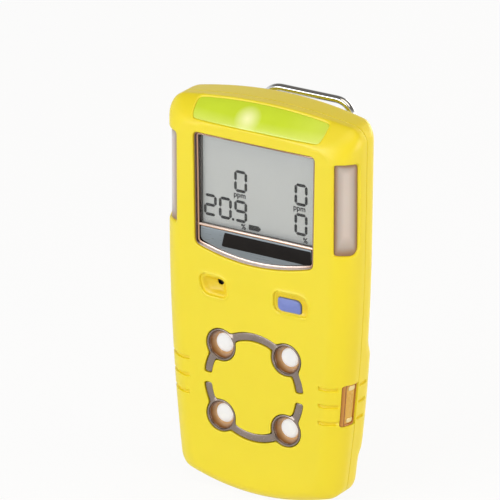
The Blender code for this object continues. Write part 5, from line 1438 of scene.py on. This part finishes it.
def frame_finish():
    """Bronze-plated frame: dark brown, with painted shade on its walls, a painted bright highlight line and a
    pale painted reflection low down.
    """
    made = surface_finish("plated_bronze", tint("bronze"), 0.12, (0.16, 0.26), 0.5, 0.004, cloud=4.0, IOR=1.9,
                          Metallic=0.3)
    tree = made.node_tree
    dark, deep, bright = tint("bronze"), shaded(tint("bronze"), 0.3), tint("bead_highlight")
    # Painted highlight and shade across the frame's section: bright lines where it would reflect light, dark
    # on its walls in shade
    stops = ((0.0, deep), (0.2, shaded(bright, 0.7)), (0.34, dark), (0.52, dark), (0.6, bright),
             (0.74, bright), (0.84, deep))
    across = add_node(tree, "ShaderNodeAttribute", attribute_name="across")
    toned_over(made, across.outputs["Fac"], stops, 0.92)
    # Painted reflection: the lower wall and the bar's top are laid over with pale pink where they would
    # mirror the white above
    pale = add_node(tree, "ShaderNodeAttribute", attribute_name="pale")
    laid_over(made, (*linear("#EFE0D8"), 1), pale.outputs["Fac"])
    return made


def liner_finish():
    """Turned brown acetal: glossy, with painted shade that darkens it at the mouth and painted light that
    turns it honey-coloured down by the filter.
    """
    made = surface_finish("glossy_brown_acetal", tint("liner"), 0.22, (0.08, 0.16), 0.8, 0.006,
                          (1, 0.5, 1), 3.0, Specular_IOR_Level=0.8)
    # Painted shade and light by depth: dark brown at the mouth, honey where the white filter would light the
    # wall
    stops = ((0.0, linear("#3A2616")), (0.3, linear("#7A4F22")), (1.0, linear("#D8AE78")))
    toned_over(made, share_along(made, "Y", 0.5, 2.6), stops, 0.85)
    return made


def amber_finish(near):
    """Moulded amber polycarbonate: glossy, with painted shade that browns it along its edges and painted
    light where it is golden.
    """
    made = surface_finish("amber_polycarbonate", tint("amber"), 0.3, (0.08, 0.16), 0.6, 0.006,
                          (1, 3, 0.4), 2.0)
    # Painted shade and light by depth into the recess: brown where its lips lie in shadow, golden where light
    # gathers
    stops = ((0.0, linear("#4A2C12")), (0.2, linear("#B0742C")), (0.7, linear("#D89A3A")),
             (0.88, linear("#4E2E10")), (1.0, linear("#C07A28")))
    toned_over(made, share_along(made, "Y", near, near + 1.4), stops, 0.8)
    return made


class DETECTOR_OT_window(bpy.types.Operator):
    """Bronze frame with its bar, the clear pane, the bare label plate and its black band"""
    bl_idname = "detector.window"
    bl_label = "Window"

    def execute(self, context):
        s = sizes()
        loop = window_loop(s, 0.3)
        count, rings = len(loop), []
        for inset, depth, follow in FRAME_SECTION:
            ring = offset(loop, -inset)
            y = depth + follow * face_y(s, ring[:, 0], ring[:, 1])
            rings.append(np.column_stack((ring[:, 0], y, ring[:, 1])))
        rows = np.arange(len(rings) * count).reshape(-1, count)
        shares = np.repeat(np.arange(len(rings)) / (len(rings) - 1), count)
        half = s.window_low_width / 2 - 0.6
        bar = slab(softened(BAR_SECTION, 0.2, True, 3) + (0, s.bar_height), -half, half, 0.02, "x")
        points, faces = together((np.vstack(rings), bands([*rows, rows[0]])), bar)
        made = as_piece("bronze_frame", points, faces, "bronze_frame", frame_finish(), ["window_frame"])
        # Painted highlight and shade: each point's place across the frame's section, the bar's front reading
        # as highlight and its back as shade
        mark(made, "across", np.concatenate((shares, 0.66 + 0.3 * ramp(bar[0][:, 1], 1.45, 1.9))))
        # Painted reflection mask: the frame's lower wall and the bar's upper front, which would mirror the
        # white above
        low = 1 - ramp(points[:, 2], s.window_low - 0.5, s.window_low + 0.6)
        low[-len(bar[0]):] = ramp(bar[0][:, 2], s.bar_height - 0.1, s.bar_height + 0.2) * (bar[0][:, 1] < 1.7)
        mark(made, "pale", low * 0.8)

        inner = s.window_low_width / 2 - 1.2
        low, high = s.bar_height + 0.55, s.window_top - 1.2
        pane = rounded([(-inner, low), (inner, low), (inner + 0.35, high), (-inner - 0.35, high)], [0.5] * 4)
        # Cast acrylic, polished: all but unseen, with a faint sharp reflection
        finish = surface_finish("clear_acrylic", linear("#F4F6F6"), 0.01, (0.03, 0.06), 6.0, 0.001,
                                Alpha=0.03, Specular_IOR_Level=0.12)
        as_piece("window_pane", *slab(pane, *PANE_DEPTHS, 0.12), "clear_pane", finish, ["display_window"])

        low, high = s.window_low + 1.1, s.bar_height - 0.5
        plate = rounded(rectangle(inner, low, high), [0.9, 0.9, 0.2, 0.2], 0.4)
        hang = np.clip((high - plate[:, 1]) / (high - s.window_low - 1.1), 0, 1) ** 2
        plate[:, 1] -= s.window_sag * hang * (1 - (plate[:, 0] / inner) ** 2)
        # Brushed aluminium foil: cool silver, drawn into long fine lines across
        finish = surface_finish("brushed_silver_foil", tint("silver"), 0.03, (0.26, 0.38), 0.25, 0.002,
                                (0.04, 1, 1), 3.0, Metallic=0.65)
        as_piece("silver_label", *slab(plate, *LABEL_DEPTHS, 0.08), "silver_plate", finish, ["label_plate"])
        right = inner - 0.1
        band = [(BAND_LEFT[0], BAND_LOW), (right, BAND_LOW), (right, BAND_HIGH), (BAND_LEFT[1], BAND_HIGH)]
        # Screen-printed ink: a soft black, a little cloudy, with hardly any shine
        finish = surface_finish("black_screen_print", tint("band"), 0.15, (0.3, 0.4), 0.4, 0.004, cloud=5.0,
                                Specular_IOR_Level=0.12)
        as_piece("label_band", *slab(rounded(band, [0.3] * 4, 0.4), *BAND_DEPTHS, 0.03), "silver_plate",
                 finish)
        return {"FINISHED"}


def segment_shapes(sign, x, z):
    """The lit bars of one seven-segment digit about its middle."""
    lit = {"0": "abcdef", "2": "abged", "9": "abcdfg"}[sign]
    thick, gap = DIGIT_STROKE, 0.09
    half, step = DIGIT_WIDTH / 2 - thick / 2, DIGIT_TALL / 2 - thick / 2
    ends = {"a": ((-half, step), (half, step)), "b": ((half, step), (half, 0)),
            "c": ((half, 0), (half, -step)), "d": ((-half, -step), (half, -step)),
            "e": ((-half, 0), (-half, -step)), "f": ((-half, step), (-half, 0)), "g": ((-half, 0), (half, 0))}
    shapes = []
    for key in lit:
        a, b = (np.array(end) + (x, z) for end in ends[key])
        along = (b - a) / np.linalg.norm(b - a)
        over = np.array((-along[1], along[0])) * thick / 2
        a, b = a + along * gap, b - along * gap
        inner_a, inner_b = a + along * thick / 2, b - along * thick / 2
        loop = np.array((a, inner_a - over, inner_b - over, b, inner_b + over, inner_a + over))
        shapes.append(slab(loop, *DRAWN_DEPTHS, 0.01))
    return shapes


def lettering(text, x, z):
    """Raised plain lettering on the display, in millimetres of the case's frame."""
    curve = bpy.data.curves.new("lettering", "FONT")
    curve.body = text
    curve.align_x = "CENTER"
    curve.align_y = "CENTER"
    curve.size = UNIT_TALL
    curve.extrude = 0.04
    curve.offset = 0.05
    curve.resolution_u = 3
    working = new_object("lettering", curve)
    mesh = bpy.data.meshes.new_from_object(working.evaluated_get(bpy.context.evaluated_depsgraph_get()))
    bm = bmesh.new()
    bm.from_mesh(mesh)
    bmesh.ops.remove_doubles(bm, verts=bm.verts, dist=1e-4)
    bm.verts.index_update()
    middle = sum(DRAWN_DEPTHS) / 2
    points = np.array([(v.co.x + x, middle - v.co.z, v.co.y + z) for v in bm.verts])
    faces = [[v.index for v in face.verts] for face in bm.faces]
    bm.free()
    bpy.data.meshes.remove(mesh)
    bpy.data.curves.remove(curve)
    return points, faces


class DETECTOR_OT_display(bpy.types.Operator):
    """Grey display with its segment digits, units and battery sign"""
    bl_idname = "detector.display"
    bl_label = "Display"

    def execute(self, context):
        panel = rounded(rectangle(*PANEL_PLAN), [0.3] * 4, 1.0)
        # Liquid crystal glass under a matt polariser: an even grey with a dull sheen
        finish = surface_finish("liquid_crystal_glass", tint("glass"), 0.02, (0.3, 0.36), 0.3, 0.002,
                                cloud=25.0)
        as_piece("display_panel", *slab(panel, *PANEL_DEPTHS, 0.1), "display_glass", finish, ["lcd_panel"])
        shapes = []
        for digit in DIGITS:
            shapes += segment_shapes(*digit)
        point = rounded([(-8.45, 78.8), (-7.75, 78.8), (-7.75, 79.5), (-8.45, 79.5)], [0.1] * 4, 0.1)
        battery = rounded([(-3.1, 77.2), (0, 77.2), (0.8, 77.95), (0, 78.7), (-3.1, 78.7)], [0.12] * 5, 0.2)
        border = np.array([(-17.95, 76.9), (-17.77, 76.9), (-17.77, 102.4), (-17.95, 102.4)])
        shapes += [slab(loop, *DRAWN_DEPTHS, 0.01) for loop in (point, battery, border)]
        shapes += [lettering(*unit) for unit in UNITS]
        # Switched liquid crystal: near black, slightly uneven, with little shine
        finish = surface_finish("dark_segments", tint("digit"), 0.1, (0.4, 0.5), 0.3, 0.002, cloud=4.0,
                                Specular_IOR_Level=0.15)
        as_piece("display_digits", *together(*shapes), "display_glass", finish)
        return {"FINISHED"}


class DETECTOR_OT_ports(bpy.types.Operator):
    """Glossy port walls and white filter discs, four of each"""
    bl_idname = "detector.ports"
    bl_label = "Sensor ports"

    def execute(self, context):
        s = sizes()
        spots = [(x, face_y(s, x, z), z) for x, z in ports(s)]
        finish = liner_finish()
        wall = softened(PORT_WALL, 0.16, True)
        mesh = repeated(turned(wall, (0, 0, 0), closed=True, sides=64), spots, finish)
        finish_piece("port_walls", mesh, finish)
        # Sintered fluoropolymer: chalk white with a pressed grain, drawn coarser than the real one to show
        finish = surface_finish("sintered_white_membrane", tint("membrane"), 0.03, (0.6, 0.75), 0.18, 0.02,
                                cloud=2.0)
        mesh = repeated(turned(FILTER_DISC, (0, 0, 0), sides=64), spots, finish)
        finish_piece("filter_discs", mesh, finish,
                     [f"sensor_filter_{k}" for k in (1, 2, 3, 4)])
        return {"FINISHED"}


class DETECTOR_OT_button(bpy.types.Operator):
    """Domed blue push button"""
    bl_idname = "detector.button"
    bl_label = "Push button"

    def execute(self, context):
        loop = button_loop(sizes(), BUTTON_SLACK)

        def top(flat):
            return BUTTON_SINK + BUTTON_FALL * (1 - ramp(distance_to(flat, loop), 0, 1.9))

        # Moulded silicone: a soft lilac blue with a dull, faintly grained skin
        finish = surface_finish("moulded_blue_silicone", tint("button"), 0.04, (0.32, 0.42), 0.25, 0.01,
                                cloud=4.0)
        shape = inlay(skin("front"), loop, [], hexagons(loop, 0.3), top, BUTTON_FLOOR, 0.3, 0, 0.15)
        as_piece("blue_button", *shape, "blue_button", finish, ["push_button"], "button")
        return {"FINISHED"}


class DETECTOR_OT_charging(bpy.types.Operator):
    """Amber tray in the side recess with its plate and two contacts"""
    bl_idname = "detector.charging"
    bl_label = "Charging recess"

    def execute(self, context):
        s = sizes()
        surface = skin("front")
        low, high, near = s.charge_low, s.charge_high, s.charge_near

        def flank_loop(left, right, base, top, radius, step=0.3):
            corners = [(left, base), (right[0], base), (right[1], top), (left, top)]
            return eased(resample(surface.place(rounded(corners, [radius] * 4, step), 1), step), 1)

        def brim(flat):
            return BRIM_SINK + BRIM_FALL * ramp(-distance_to(flat, well), 0.7, 0.1)

        seam = np.array([seam_y(s, z) for z in (low, high)])
        rim = flank_loop(near + 0.08, seam - 0.12, low + 0.08, high - 0.08, 0.55)
        well = flank_loop(near + 1.35, seam - 0.4, low + 0.55, high - 0.45, 0.3)
        tray = inlay(surface, rim, [well], hexagons(rim, 0.5), brim, TRAY_FLOOR, 0.1, 0.14, 0.15)
        as_piece("amber_tray", *tray, "amber_plastic", amber_finish(near), ["charge_port"])
        # The same polycarbonate, polished flat: pale gold with long soft streaks
        pale = surface_finish("pale_amber_plate", linear("#DDB04C"), 0.06, (0.2, 0.3), 0.5, 0.006,
                              (1, 1, 0.3), 3.0)
        loop = offset(well, 0.02)
        plate = inlay(surface, loop, [], hexagons(well, 0.6), PLATE_SINK, TRAY_FLOOR, 0.1, 0, 0.2)
        as_piece("amber_plate", *plate, "amber_plastic", pale)
        # Gold-plated brass: a warm dull metal, slightly mottled
        gilt = surface_finish("gilt_contact", linear("#B98A34"), 0.08, (0.2, 0.3), 0.2, 0.004, cloud=1.0,
                              Metallic=0.6)
        for number, base in ((1, high - 1.95), (2, low + 0.85)):
            right = seam_y(s, base) - 0.65
            pad = flank_loop(near + 1.9, (right, right), base, base + 1.3, 0.35, 0.2)
            shape = inlay(surface, pad, [], hexagons(pad, 0.25), CONTACT_SINK, CONTACT_FLOOR, 0.12, 0, 0.12)
            as_piece(f"charging_contact_{number}", *shape, "gilt_contact", gilt,
                     [f"charge_contact_{number}"])
        return {"FINISHED"}


# Clip and fasteners

# Radius of the jaw's curl round the thumb loop
JAW_CURL = 1.845
# Turns of the spring, and points in each
SPRING_TURNS = 4.5
SPRING_POINTS = 32
# Reach of the cut for the pin to each side, and its clearance round the pin
BORE_REACH = 40
BORE_ROOM = 0.1
# Lengths of a case screw's shank and its tip, and of the clip screw's shank
SCREW_LENGTH = 6
SCREW_TIP = 0.6
CLIP_SCREW_LENGTH = 4


def steel_finish():
    """Polished stainless steel: bright, with faint long polishing marks."""
    return surface_finish("polished_stainless", tint("steel"), 0.04, (0.07, 0.12), 0.8, 0.0008,
                          (0.15, 1, 1), 5.0, Metallic=1.0)


class DETECTOR_OT_clip(bpy.types.Operator):
    """Back plate with ears, toothed jaw, hinge pin, spring and thumb loop"""
    bl_idname = "detector.clip"
    bl_label = "Clip"

    def execute(self, context):
        s = sizes()
        steel = steel_finish()
        half, back = s.base_width / 2, s.clip_front - s.base_sheet
        hinge = (0, s.hinge_depth, s.hinge_height)
        wide = s.pin_radius + BORE_ROOM
        bore = [(0, -BORE_REACH), (wide, -BORE_REACH), (wide, BORE_REACH), (0, BORE_REACH)]
        bore = turned(bore, hinge, "x")

        plate = rounded(rectangle(half, s.grip_height, s.base_top), [1.6] * 4, 0.5)
        plate = slab(plate, back, s.clip_front, 0.18)
        ear = [(back + 0.2, s.hinge_height - 2 * s.ear_radius)]
        ear += list(arc(hinge[1:], s.ear_radius, -math.pi / 2, math.pi / 2, 16))
        ear += [(back + 0.2, s.hinge_height + 2 * s.ear_radius)]
        ear = softened(ear, 0.3, True, 3)
        width = s.jaw_width / 2 + s.gap
        ears = [slab(ear, *sorted((sign * width, sign * (half - s.gap))), 0.1, "x") for sign in (-1, 1)]
        head, neck = s.screw_head + 0.1, s.screw_radius + 0.2
        sink = turned([(0, back - 1), (neck, back - 1), (neck, back + 0.1), (head, s.clip_front + 0.01),
                       (head, s.clip_front + 1), (0, s.clip_front + 1)], (0, 0, s.screw_height))
        mesh = cut_and_joined(plate, ears, [bore, sink])
        finish_piece("clip_plate", mesh, steel, ["clip_base"])

        tip = s.clip_front + s.gap + s.jaw_sheet / 2
        loop_depth = s.jaw_middle + s.heel + JAW_CURL
        path = [(tip, s.grip_height + s.jaw_sheet), (s.jaw_middle - s.jaw_back, s.jaw_nose),
                (s.jaw_middle - s.jaw_back / 4, (s.jaw_nose + s.jaw_flat) / 2), (s.jaw_middle, s.jaw_flat),
                (s.jaw_middle, s.hinge_height)]
        path = softened(path, 2.4, False, 8)
        path = np.vstack((path, arc((loop_depth, s.loop_low), JAW_CURL, math.pi, -math.pi / 3, 28)))
        along = np.gradient(path, axis=0)
        along /= np.linalg.norm(along, axis=1)[:, None]
        over = np.column_stack((-along[:, 1], along[:, 0])) * s.jaw_sheet / 2
        width = s.jaw_width / 2
        jaw = slab(np.vstack((path + over, (path - over)[::-1])), -width, width, 0.16, "x")
        ear = list(arc(hinge[1:], s.ear_radius, math.pi / 2, 3 * math.pi / 2, 16))
        ear += [(s.jaw_middle, s.hinge_height - s.ear_radius), (s.jaw_middle, s.hinge_height + s.ear_radius)]
        outer, inner = width - s.gap, width - s.gap - s.jaw_sheet
        ears = [slab(np.array(ear), *sorted((sign * outer, sign * inner)), 0.1, "x") for sign in (-1, 1)]
        pitch = s.jaw_width / s.tooth_count
        foot = s.grip_height - 1
        cuts = [bore]
        for k in range(s.tooth_count):
            x = (k - (s.tooth_count - 1) / 2) * pitch
            notch = [(x - pitch / 3, foot), (x + pitch / 3, foot), (x, s.grip_height + 0.45 + s.tooth_depth)]
            cuts.append(slab(softened(notch, 0.25, True), s.clip_front - 1, s.jaw_middle, 0.01))
        mesh = cut_and_joined(jaw, ears, cuts)
        finish_piece("toothed_jaw", mesh, steel, ["clip_jaw"], "clip")

        end = half + s.gap + s.pin_head_length
        neck = s.pin_head_length - end
        pin = [(0, -end), (s.pin_head * 0.7, -end + 0.06), (s.pin_head, -end + 0.35), (s.pin_head, neck),
               (s.pin_radius, neck)]
        pin = softened(pin + [(r, -x) for r, x in reversed(pin)], 0.12)
        as_piece("hinge_pin", *turned(pin, hinge, "x", 40), "polished_steel", steel, ["clip_pin"])

        wide = s.spring_pitch * SPRING_TURNS
        steps = np.arange(int(SPRING_TURNS * SPRING_POINTS) + 1)
        angle = math.pi + math.tau * steps / SPRING_POINTS
        coil = np.column_stack((wide * (steps / steps[-1] - 0.5),
                                s.hinge_depth + s.spring_radius * np.cos(angle),
                                s.hinge_height + s.spring_radius * np.sin(angle)))
        legs = [(x, s.hinge_depth + y, s.hinge_height + s.spring_leg) for x, y in
                ((-wide / 2, -s.spring_radius), (wide / 2, s.spring_radius))]
        mesh = tube(np.vstack((legs[:1], coil, legs[1:])), s.spring_wire, steel)
        spring = finish_piece("torsion_spring", mesh, steel, ["clip_spring"], None)
        ends = in_world([(-wide / 2, *hinge[1:]), (wide / 2, *hinge[1:])])
        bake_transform(spring)

        tall = s.loop_high - s.loop_low
        across = (s.loop_width - s.loop_wire) / 2
        flat = rounded(rectangle(across, s.loop_low, s.loop_high), [s.loop_corner] * 4, 0.5)
        lean = loop_depth + s.loop_lean * (flat[:, 1] - s.loop_low) / tall
        mesh = tube(np.column_stack((flat[:, 0], lean, flat[:, 1])), s.loop_wire, steel, True)
        finish_piece("wire_loop", mesh, steel, ["thumb_loop"], "clip")
        return {"FINISHED"}


class DETECTOR_OT_screws(bpy.types.Operator):
    """Six case screws and the clip's countersunk screw"""
    bl_idname = "detector.screws"
    bl_label = "Screws"

    def execute(self, context):
        s = sizes()
        tall, deep = s.screw_head_tall, s.screw_socket_deep
        body = [(0, -SCREW_LENGTH), (s.screw_radius * 0.6, -SCREW_LENGTH),
                (s.screw_radius, SCREW_TIP - SCREW_LENGTH), (s.screw_radius, 0), (s.screw_head, 0),
                (s.screw_head, tall), (s.screw_socket + 0.15, tall)]
        socket = [(s.screw_socket, tall - 0.12), (s.screw_socket, tall - deep), (0, tall - deep - 0.2)]
        profile = np.vstack((softened(body, 0.25), socket))
        # Turned steel: grey metal with rings from the lathe, drawn coarser than the real ones to show
        finish = surface_finish("turned_steel", linear("#8F9396"), 0.1, (0.22, 0.34), 0.25, 0.004,
                                (1, 8, 1), 2.0, Metallic=1.0)
        spots = [(x, back_y(s, x, z) - tall - deep + s.gap, z) for x, z in posts(s)]
        mesh = repeated(turned(profile, (0, 0, 0), hexagon=3), spots, finish)
        finish_piece("socket_screws", mesh, finish,
                     [f"case_screw_{k}" for k in range(1, 7)])
        back, flush = s.clip_front - s.base_sheet, s.clip_front - 0.08
        end, slim = back - CLIP_SCREW_LENGTH, s.screw_socket * 0.9
        body = [(0, end), (s.screw_radius, end), (s.screw_radius, back - 0.3), (s.screw_head - 0.1, flush),
                (s.screw_socket + 0.15, flush)]
        socket = [(slim, flush - 0.1), (slim, flush - 0.9), (0, flush - 1.0)]
        shape = turned(np.vstack((softened(body, 0.12), socket)), (0, 0, s.screw_height), hexagon=3)
        as_piece("clip_fastener", *shape, "polished_steel", finish, ["clip_screw"])
        return {"FINISHED"}


class DETECTOR_OT_inside(bpy.types.Operator):
    """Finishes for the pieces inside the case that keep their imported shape"""
    bl_idname = "detector.inside"
    bl_label = "Inner finishes"

    def execute(self, context):
        # Moulded rubber: black and dull
        rubber = ("moulded_black_rubber", linear("#1B1B1C"), 0.1, (0.6, 0.75), 0.4, 0.02)
        # Moulded nylon, black or milk white: a low sheen
        plastic = ("moulded_black_nylon", linear("#202225"), 0.1, (0.4, 0.55), 0.3, 0.01)
        white = ("moulded_white_nylon", linear("#E9E7E2"), 0.03, (0.4, 0.55), 0.3, 0.01)
        # Drawn steel and machined brass: grey and yellow metal with fine tool lines
        steel = ("drawn_steel", linear("#8F9396"), 0.1, (0.22, 0.34), 0.25, 0.004, (1, 8, 1), 2.0)
        brass = ("machined_brass", linear("#B58A3C"), 0.1, (0.22, 0.34), 0.25, 0.004, (8, 1, 1), 2.0)
        # Solder mask over glass fibre: deep green, half glossy and slightly mottled
        board = ("green_solder_mask", linear("#1F5A38"), 0.12, (0.28, 0.4), 0.5, 0.006, (1, 1, 1), 3.0)
        # Shrunk vinyl: blue film with soft upright folds
        sleeve = ("shrunk_blue_sleeve", linear("#2E4F86"), 0.08, (0.3, 0.42), 0.6, 0.01, (1, 1, 0.3), 6.0)
        # Cast epoxy: pale, smooth and glossy
        lamp = ("cast_epoxy_lamp", linear("#E6EFD0"), 0.04, (0.1, 0.2), 0.6, 0.004)
        # Extruded vinyl round the leads, red and black: a soft shine
        red = ("red_lead_sleeve", linear("#B3261E"), 0.08, (0.35, 0.5), 0.4, 0.01)
        black = ("black_lead_sleeve", linear("#1A1A1A"), 0.08, (0.35, 0.5), 0.4, 0.01)
        kinds = {"alarm_led": lamp, "battery_lead_negative": black, "battery_lead_positive": red,
                 "battery_pack": sleeve, "board_screw": steel, "button_guide": rubber,
                 "buzzer_gasket": rubber, "buzzer": plastic, "eccentric_weight": brass, "gas_sensor": white,
                 "housing_seal": rubber, "key_switch": plastic, "lcd": white, "main_board": board,
                 "motor_shaft": steel, "motor_sleeve": rubber, "sensor_gasket": rubber,
                 "switch_plunger": white, "vibration_motor": steel}
        for name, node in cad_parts.items():
            if node.hide_render:
                continue
            kind = next(value for key, value in kinds.items() if name.startswith(key))
            metal = 1.0 if kind in (steel, brass) else 0.0
            node.data.materials.clear()
            node.data.materials.append(surface_finish(*kind, Metallic=metal))
        return {"FINISHED"}


# Stage

# What the camera looks at, its place round that point, in metres and degrees, and its lens in millimetres
AIM = Vector((-0.0008, -0.0206, 0.0223))
AZIMUTH = 32.1
ELEVATION = 21.3
DISTANCE = 1.617
CAMERA_LENS = 432
CAMERA_SENSOR = 36
# Soft boxes: name, place, width, power in watts and colour
LAMPS = (
    ("front_softbox", (-0.32, -0.92, 0.34), 0.8, 6.2, (0.97, 1.0, 1.04)),
    ("right_softbox", (0.95, 0.1, 0.14), 0.7, 5.2, (1.0, 0.92, 0.8)),
    ("top_softbox", (0.2, -0.3, 0.92), 0.8, 2.9, (1.0, 0.9, 0.76)),
    ("rear_softbox", (0.1, 1.0, 0.12), 0.8, 5.2, (1.0, 0.95, 0.88)),
)
# Floor's reach, and how much of the background's white shows on it
FLOOR_REACH = 4
FLOOR_GLOW = 0.92
# Strength of the light from all round
ROOM_LIGHT = 0.3


def emptied(owner):
    """The node tree of a material or world, with no nodes in it."""
    owner.use_nodes = True
    owner.node_tree.nodes.clear()
    return owner.node_tree


def background_rays(tree):
    """1 for rays that show the background: from the camera, mirrored or passed through."""
    path = add_node(tree, "ShaderNodeLightPath")
    seen = path.outputs["Is Camera Ray"]
    for kind in ("Is Glossy Ray", "Is Transmission Ray"):
        both = {0: seen, 1: path.outputs[kind]}
        seen = add_node(tree, "ShaderNodeMath", both, operation="MAXIMUM").outputs[0]
    return seen


def paper_finish():
    """Matt white paper: it takes the soft shadow, and is nearly as bright to the eye as the background."""
    made = bpy.data.materials.new("white_paper_floor")
    tree = emptied(made)
    share = add_node(tree, "ShaderNodeMath", {0: background_rays(tree), 1: FLOOR_GLOW}, operation="MULTIPLY")
    paper = add_node(tree, "ShaderNodeBsdfDiffuse", {"Color": (0.85, 0.85, 0.85, 1)})
    glow = add_node(tree, "ShaderNodeEmission", {"Color": (1, 1, 1, 1), "Strength": 1.0})
    feeds = {0: share.outputs[0], 1: paper.outputs[0], 2: glow.outputs[0]}
    mix = add_node(tree, "ShaderNodeMixShader", feeds)
    add_node(tree, "ShaderNodeOutputMaterial", {"Surface": mix.outputs[0]})
    return made


def studio_room():
    """Soft warm light from all round, and a white background that darkens overhead."""
    room = bpy.data.worlds.new("studio")
    tree = emptied(room)
    seen = background_rays(tree)
    where = add_node(tree, "ShaderNodeTexCoord")
    parts = add_node(tree, "ShaderNodeSeparateXYZ", {0: where.outputs["Generated"]})
    rise = add_node(tree, "ShaderNodeMath", {0: parts.outputs["Z"], 1: 0.5, 2: 0.5}, operation="MULTIPLY_ADD")
    stops = ((0.0, (1, 0.95, 0.88)), (0.55, (1, 0.94, 0.86)), (1.0, (0.72, 0.62, 0.52)))
    warm = add_node(tree, "ShaderNodeValToRGB", {0: rise.outputs[0]}, stops)
    soft = add_node(tree, "ShaderNodeBackground", {"Color": warm.outputs[0], "Strength": ROOM_LIGHT})
    stops = ((0.0, (1, 1, 1)), (0.66, (1, 1, 1)), (0.8, (0.22, 0.2, 0.18)))
    card = add_node(tree, "ShaderNodeValToRGB", {0: rise.outputs[0]}, stops)
    white = add_node(tree, "ShaderNodeBackground", {"Color": card.outputs[0], "Strength": 1.0})
    mix = add_node(tree, "ShaderNodeMixShader", {0: seen, 1: soft.outputs[0], 2: white.outputs[0]})
    add_node(tree, "ShaderNodeOutputWorld", {"Surface": mix.outputs[0]})
    return room


def set_up(name, data, spot, facing):
    """Put a lamp or camera at a place, facing a direction."""
    holder = new_object(name, data)
    holder.location = spot
    holder.rotation_euler = facing.to_track_quat("-Z", "Y").to_euler()
    return holder


class DETECTOR_OT_stage(bpy.types.Operator):
    """Pale floor, soft studio light and the camera"""
    bl_idname = "detector.stage"
    bl_label = "Stage"

    def execute(self, context):
        scene = context.scene
        scene.view_settings.view_transform = "Standard"
        mesh = bpy.data.meshes.new("studio_floor")
        bm = bmesh.new()
        bmesh.ops.create_grid(bm, x_segments=8, y_segments=8, size=FLOOR_REACH)
        bmesh.ops.translate(bm, vec=(0, 0, CAD_BOX[0][2]), verts=bm.verts)
        bm.to_mesh(mesh)
        bm.free()
        floor = new_object("studio_floor", mesh)
        mesh.materials.append(paper_finish())
        scene.world = studio_room()

        for name, spot, size, power, shade in LAMPS:
            lamp = bpy.data.lights.new(name, "AREA")
            lamp.shape = "DISK"
            lamp.size = size
            lamp.energy = power
            lamp.color = shade
            set_up(name, lamp, spot, AIM - Vector(spot))

        camera = bpy.data.cameras.new("camera")
        camera.lens = CAMERA_LENS
        camera.sensor_width = CAMERA_SENSOR
        azimuth, elevation = math.radians(AZIMUTH), math.radians(ELEVATION)
        away = Vector((math.sin(azimuth) * math.cos(elevation), -math.cos(azimuth) * math.cos(elevation),
                       math.sin(elevation)))
        scene.camera = set_up("camera", camera, AIM + away * DISTANCE, -away)
        return {"FINISHED"}


OPERATORS = (
    DETECTOR_OT_stage, DETECTOR_OT_front_shell, DETECTOR_OT_rear_shell, DETECTOR_OT_lenses, DETECTOR_OT_trims,
    DETECTOR_OT_window, DETECTOR_OT_display, DETECTOR_OT_ports, DETECTOR_OT_button, DETECTOR_OT_charging,
    DETECTOR_OT_clip, DETECTOR_OT_screws, DETECTOR_OT_inside,
)


class DETECTOR_PT_build(bpy.types.Panel):
    """Buttons that build the detector, piece by piece"""
    bl_label = "Gas detector"
    bl_idname = "DETECTOR_PT_build"
    bl_space_type = "VIEW_3D"
    bl_region_type = "UI"
    bl_category = "Detector"

    def draw(self, context):
        for operator in OPERATORS:
            self.layout.operator(operator.bl_idname)


CLASSES = (*GROUPS.values(), *OPERATORS, DETECTOR_PT_build)


def register():
    """Make the sizes, operators and panel known."""
    for item in CLASSES:
        bpy.utils.register_class(item)
    for key, group in GROUPS.items():
        setattr(bpy.types.Scene, key, PointerProperty(type=group))


def unregister():
    """Take them away again."""
    for key in GROUPS:
        delattr(bpy.types.Scene, key)
    for item in reversed(CLASSES):
        bpy.utils.unregister_class(item)


def main():
    """Build every piece in order."""
    register()
    for operator in OPERATORS:
        group, name = operator.bl_idname.split(".")
        getattr(getattr(bpy.ops, group), name)()


if __name__ == "__main__":
    main()
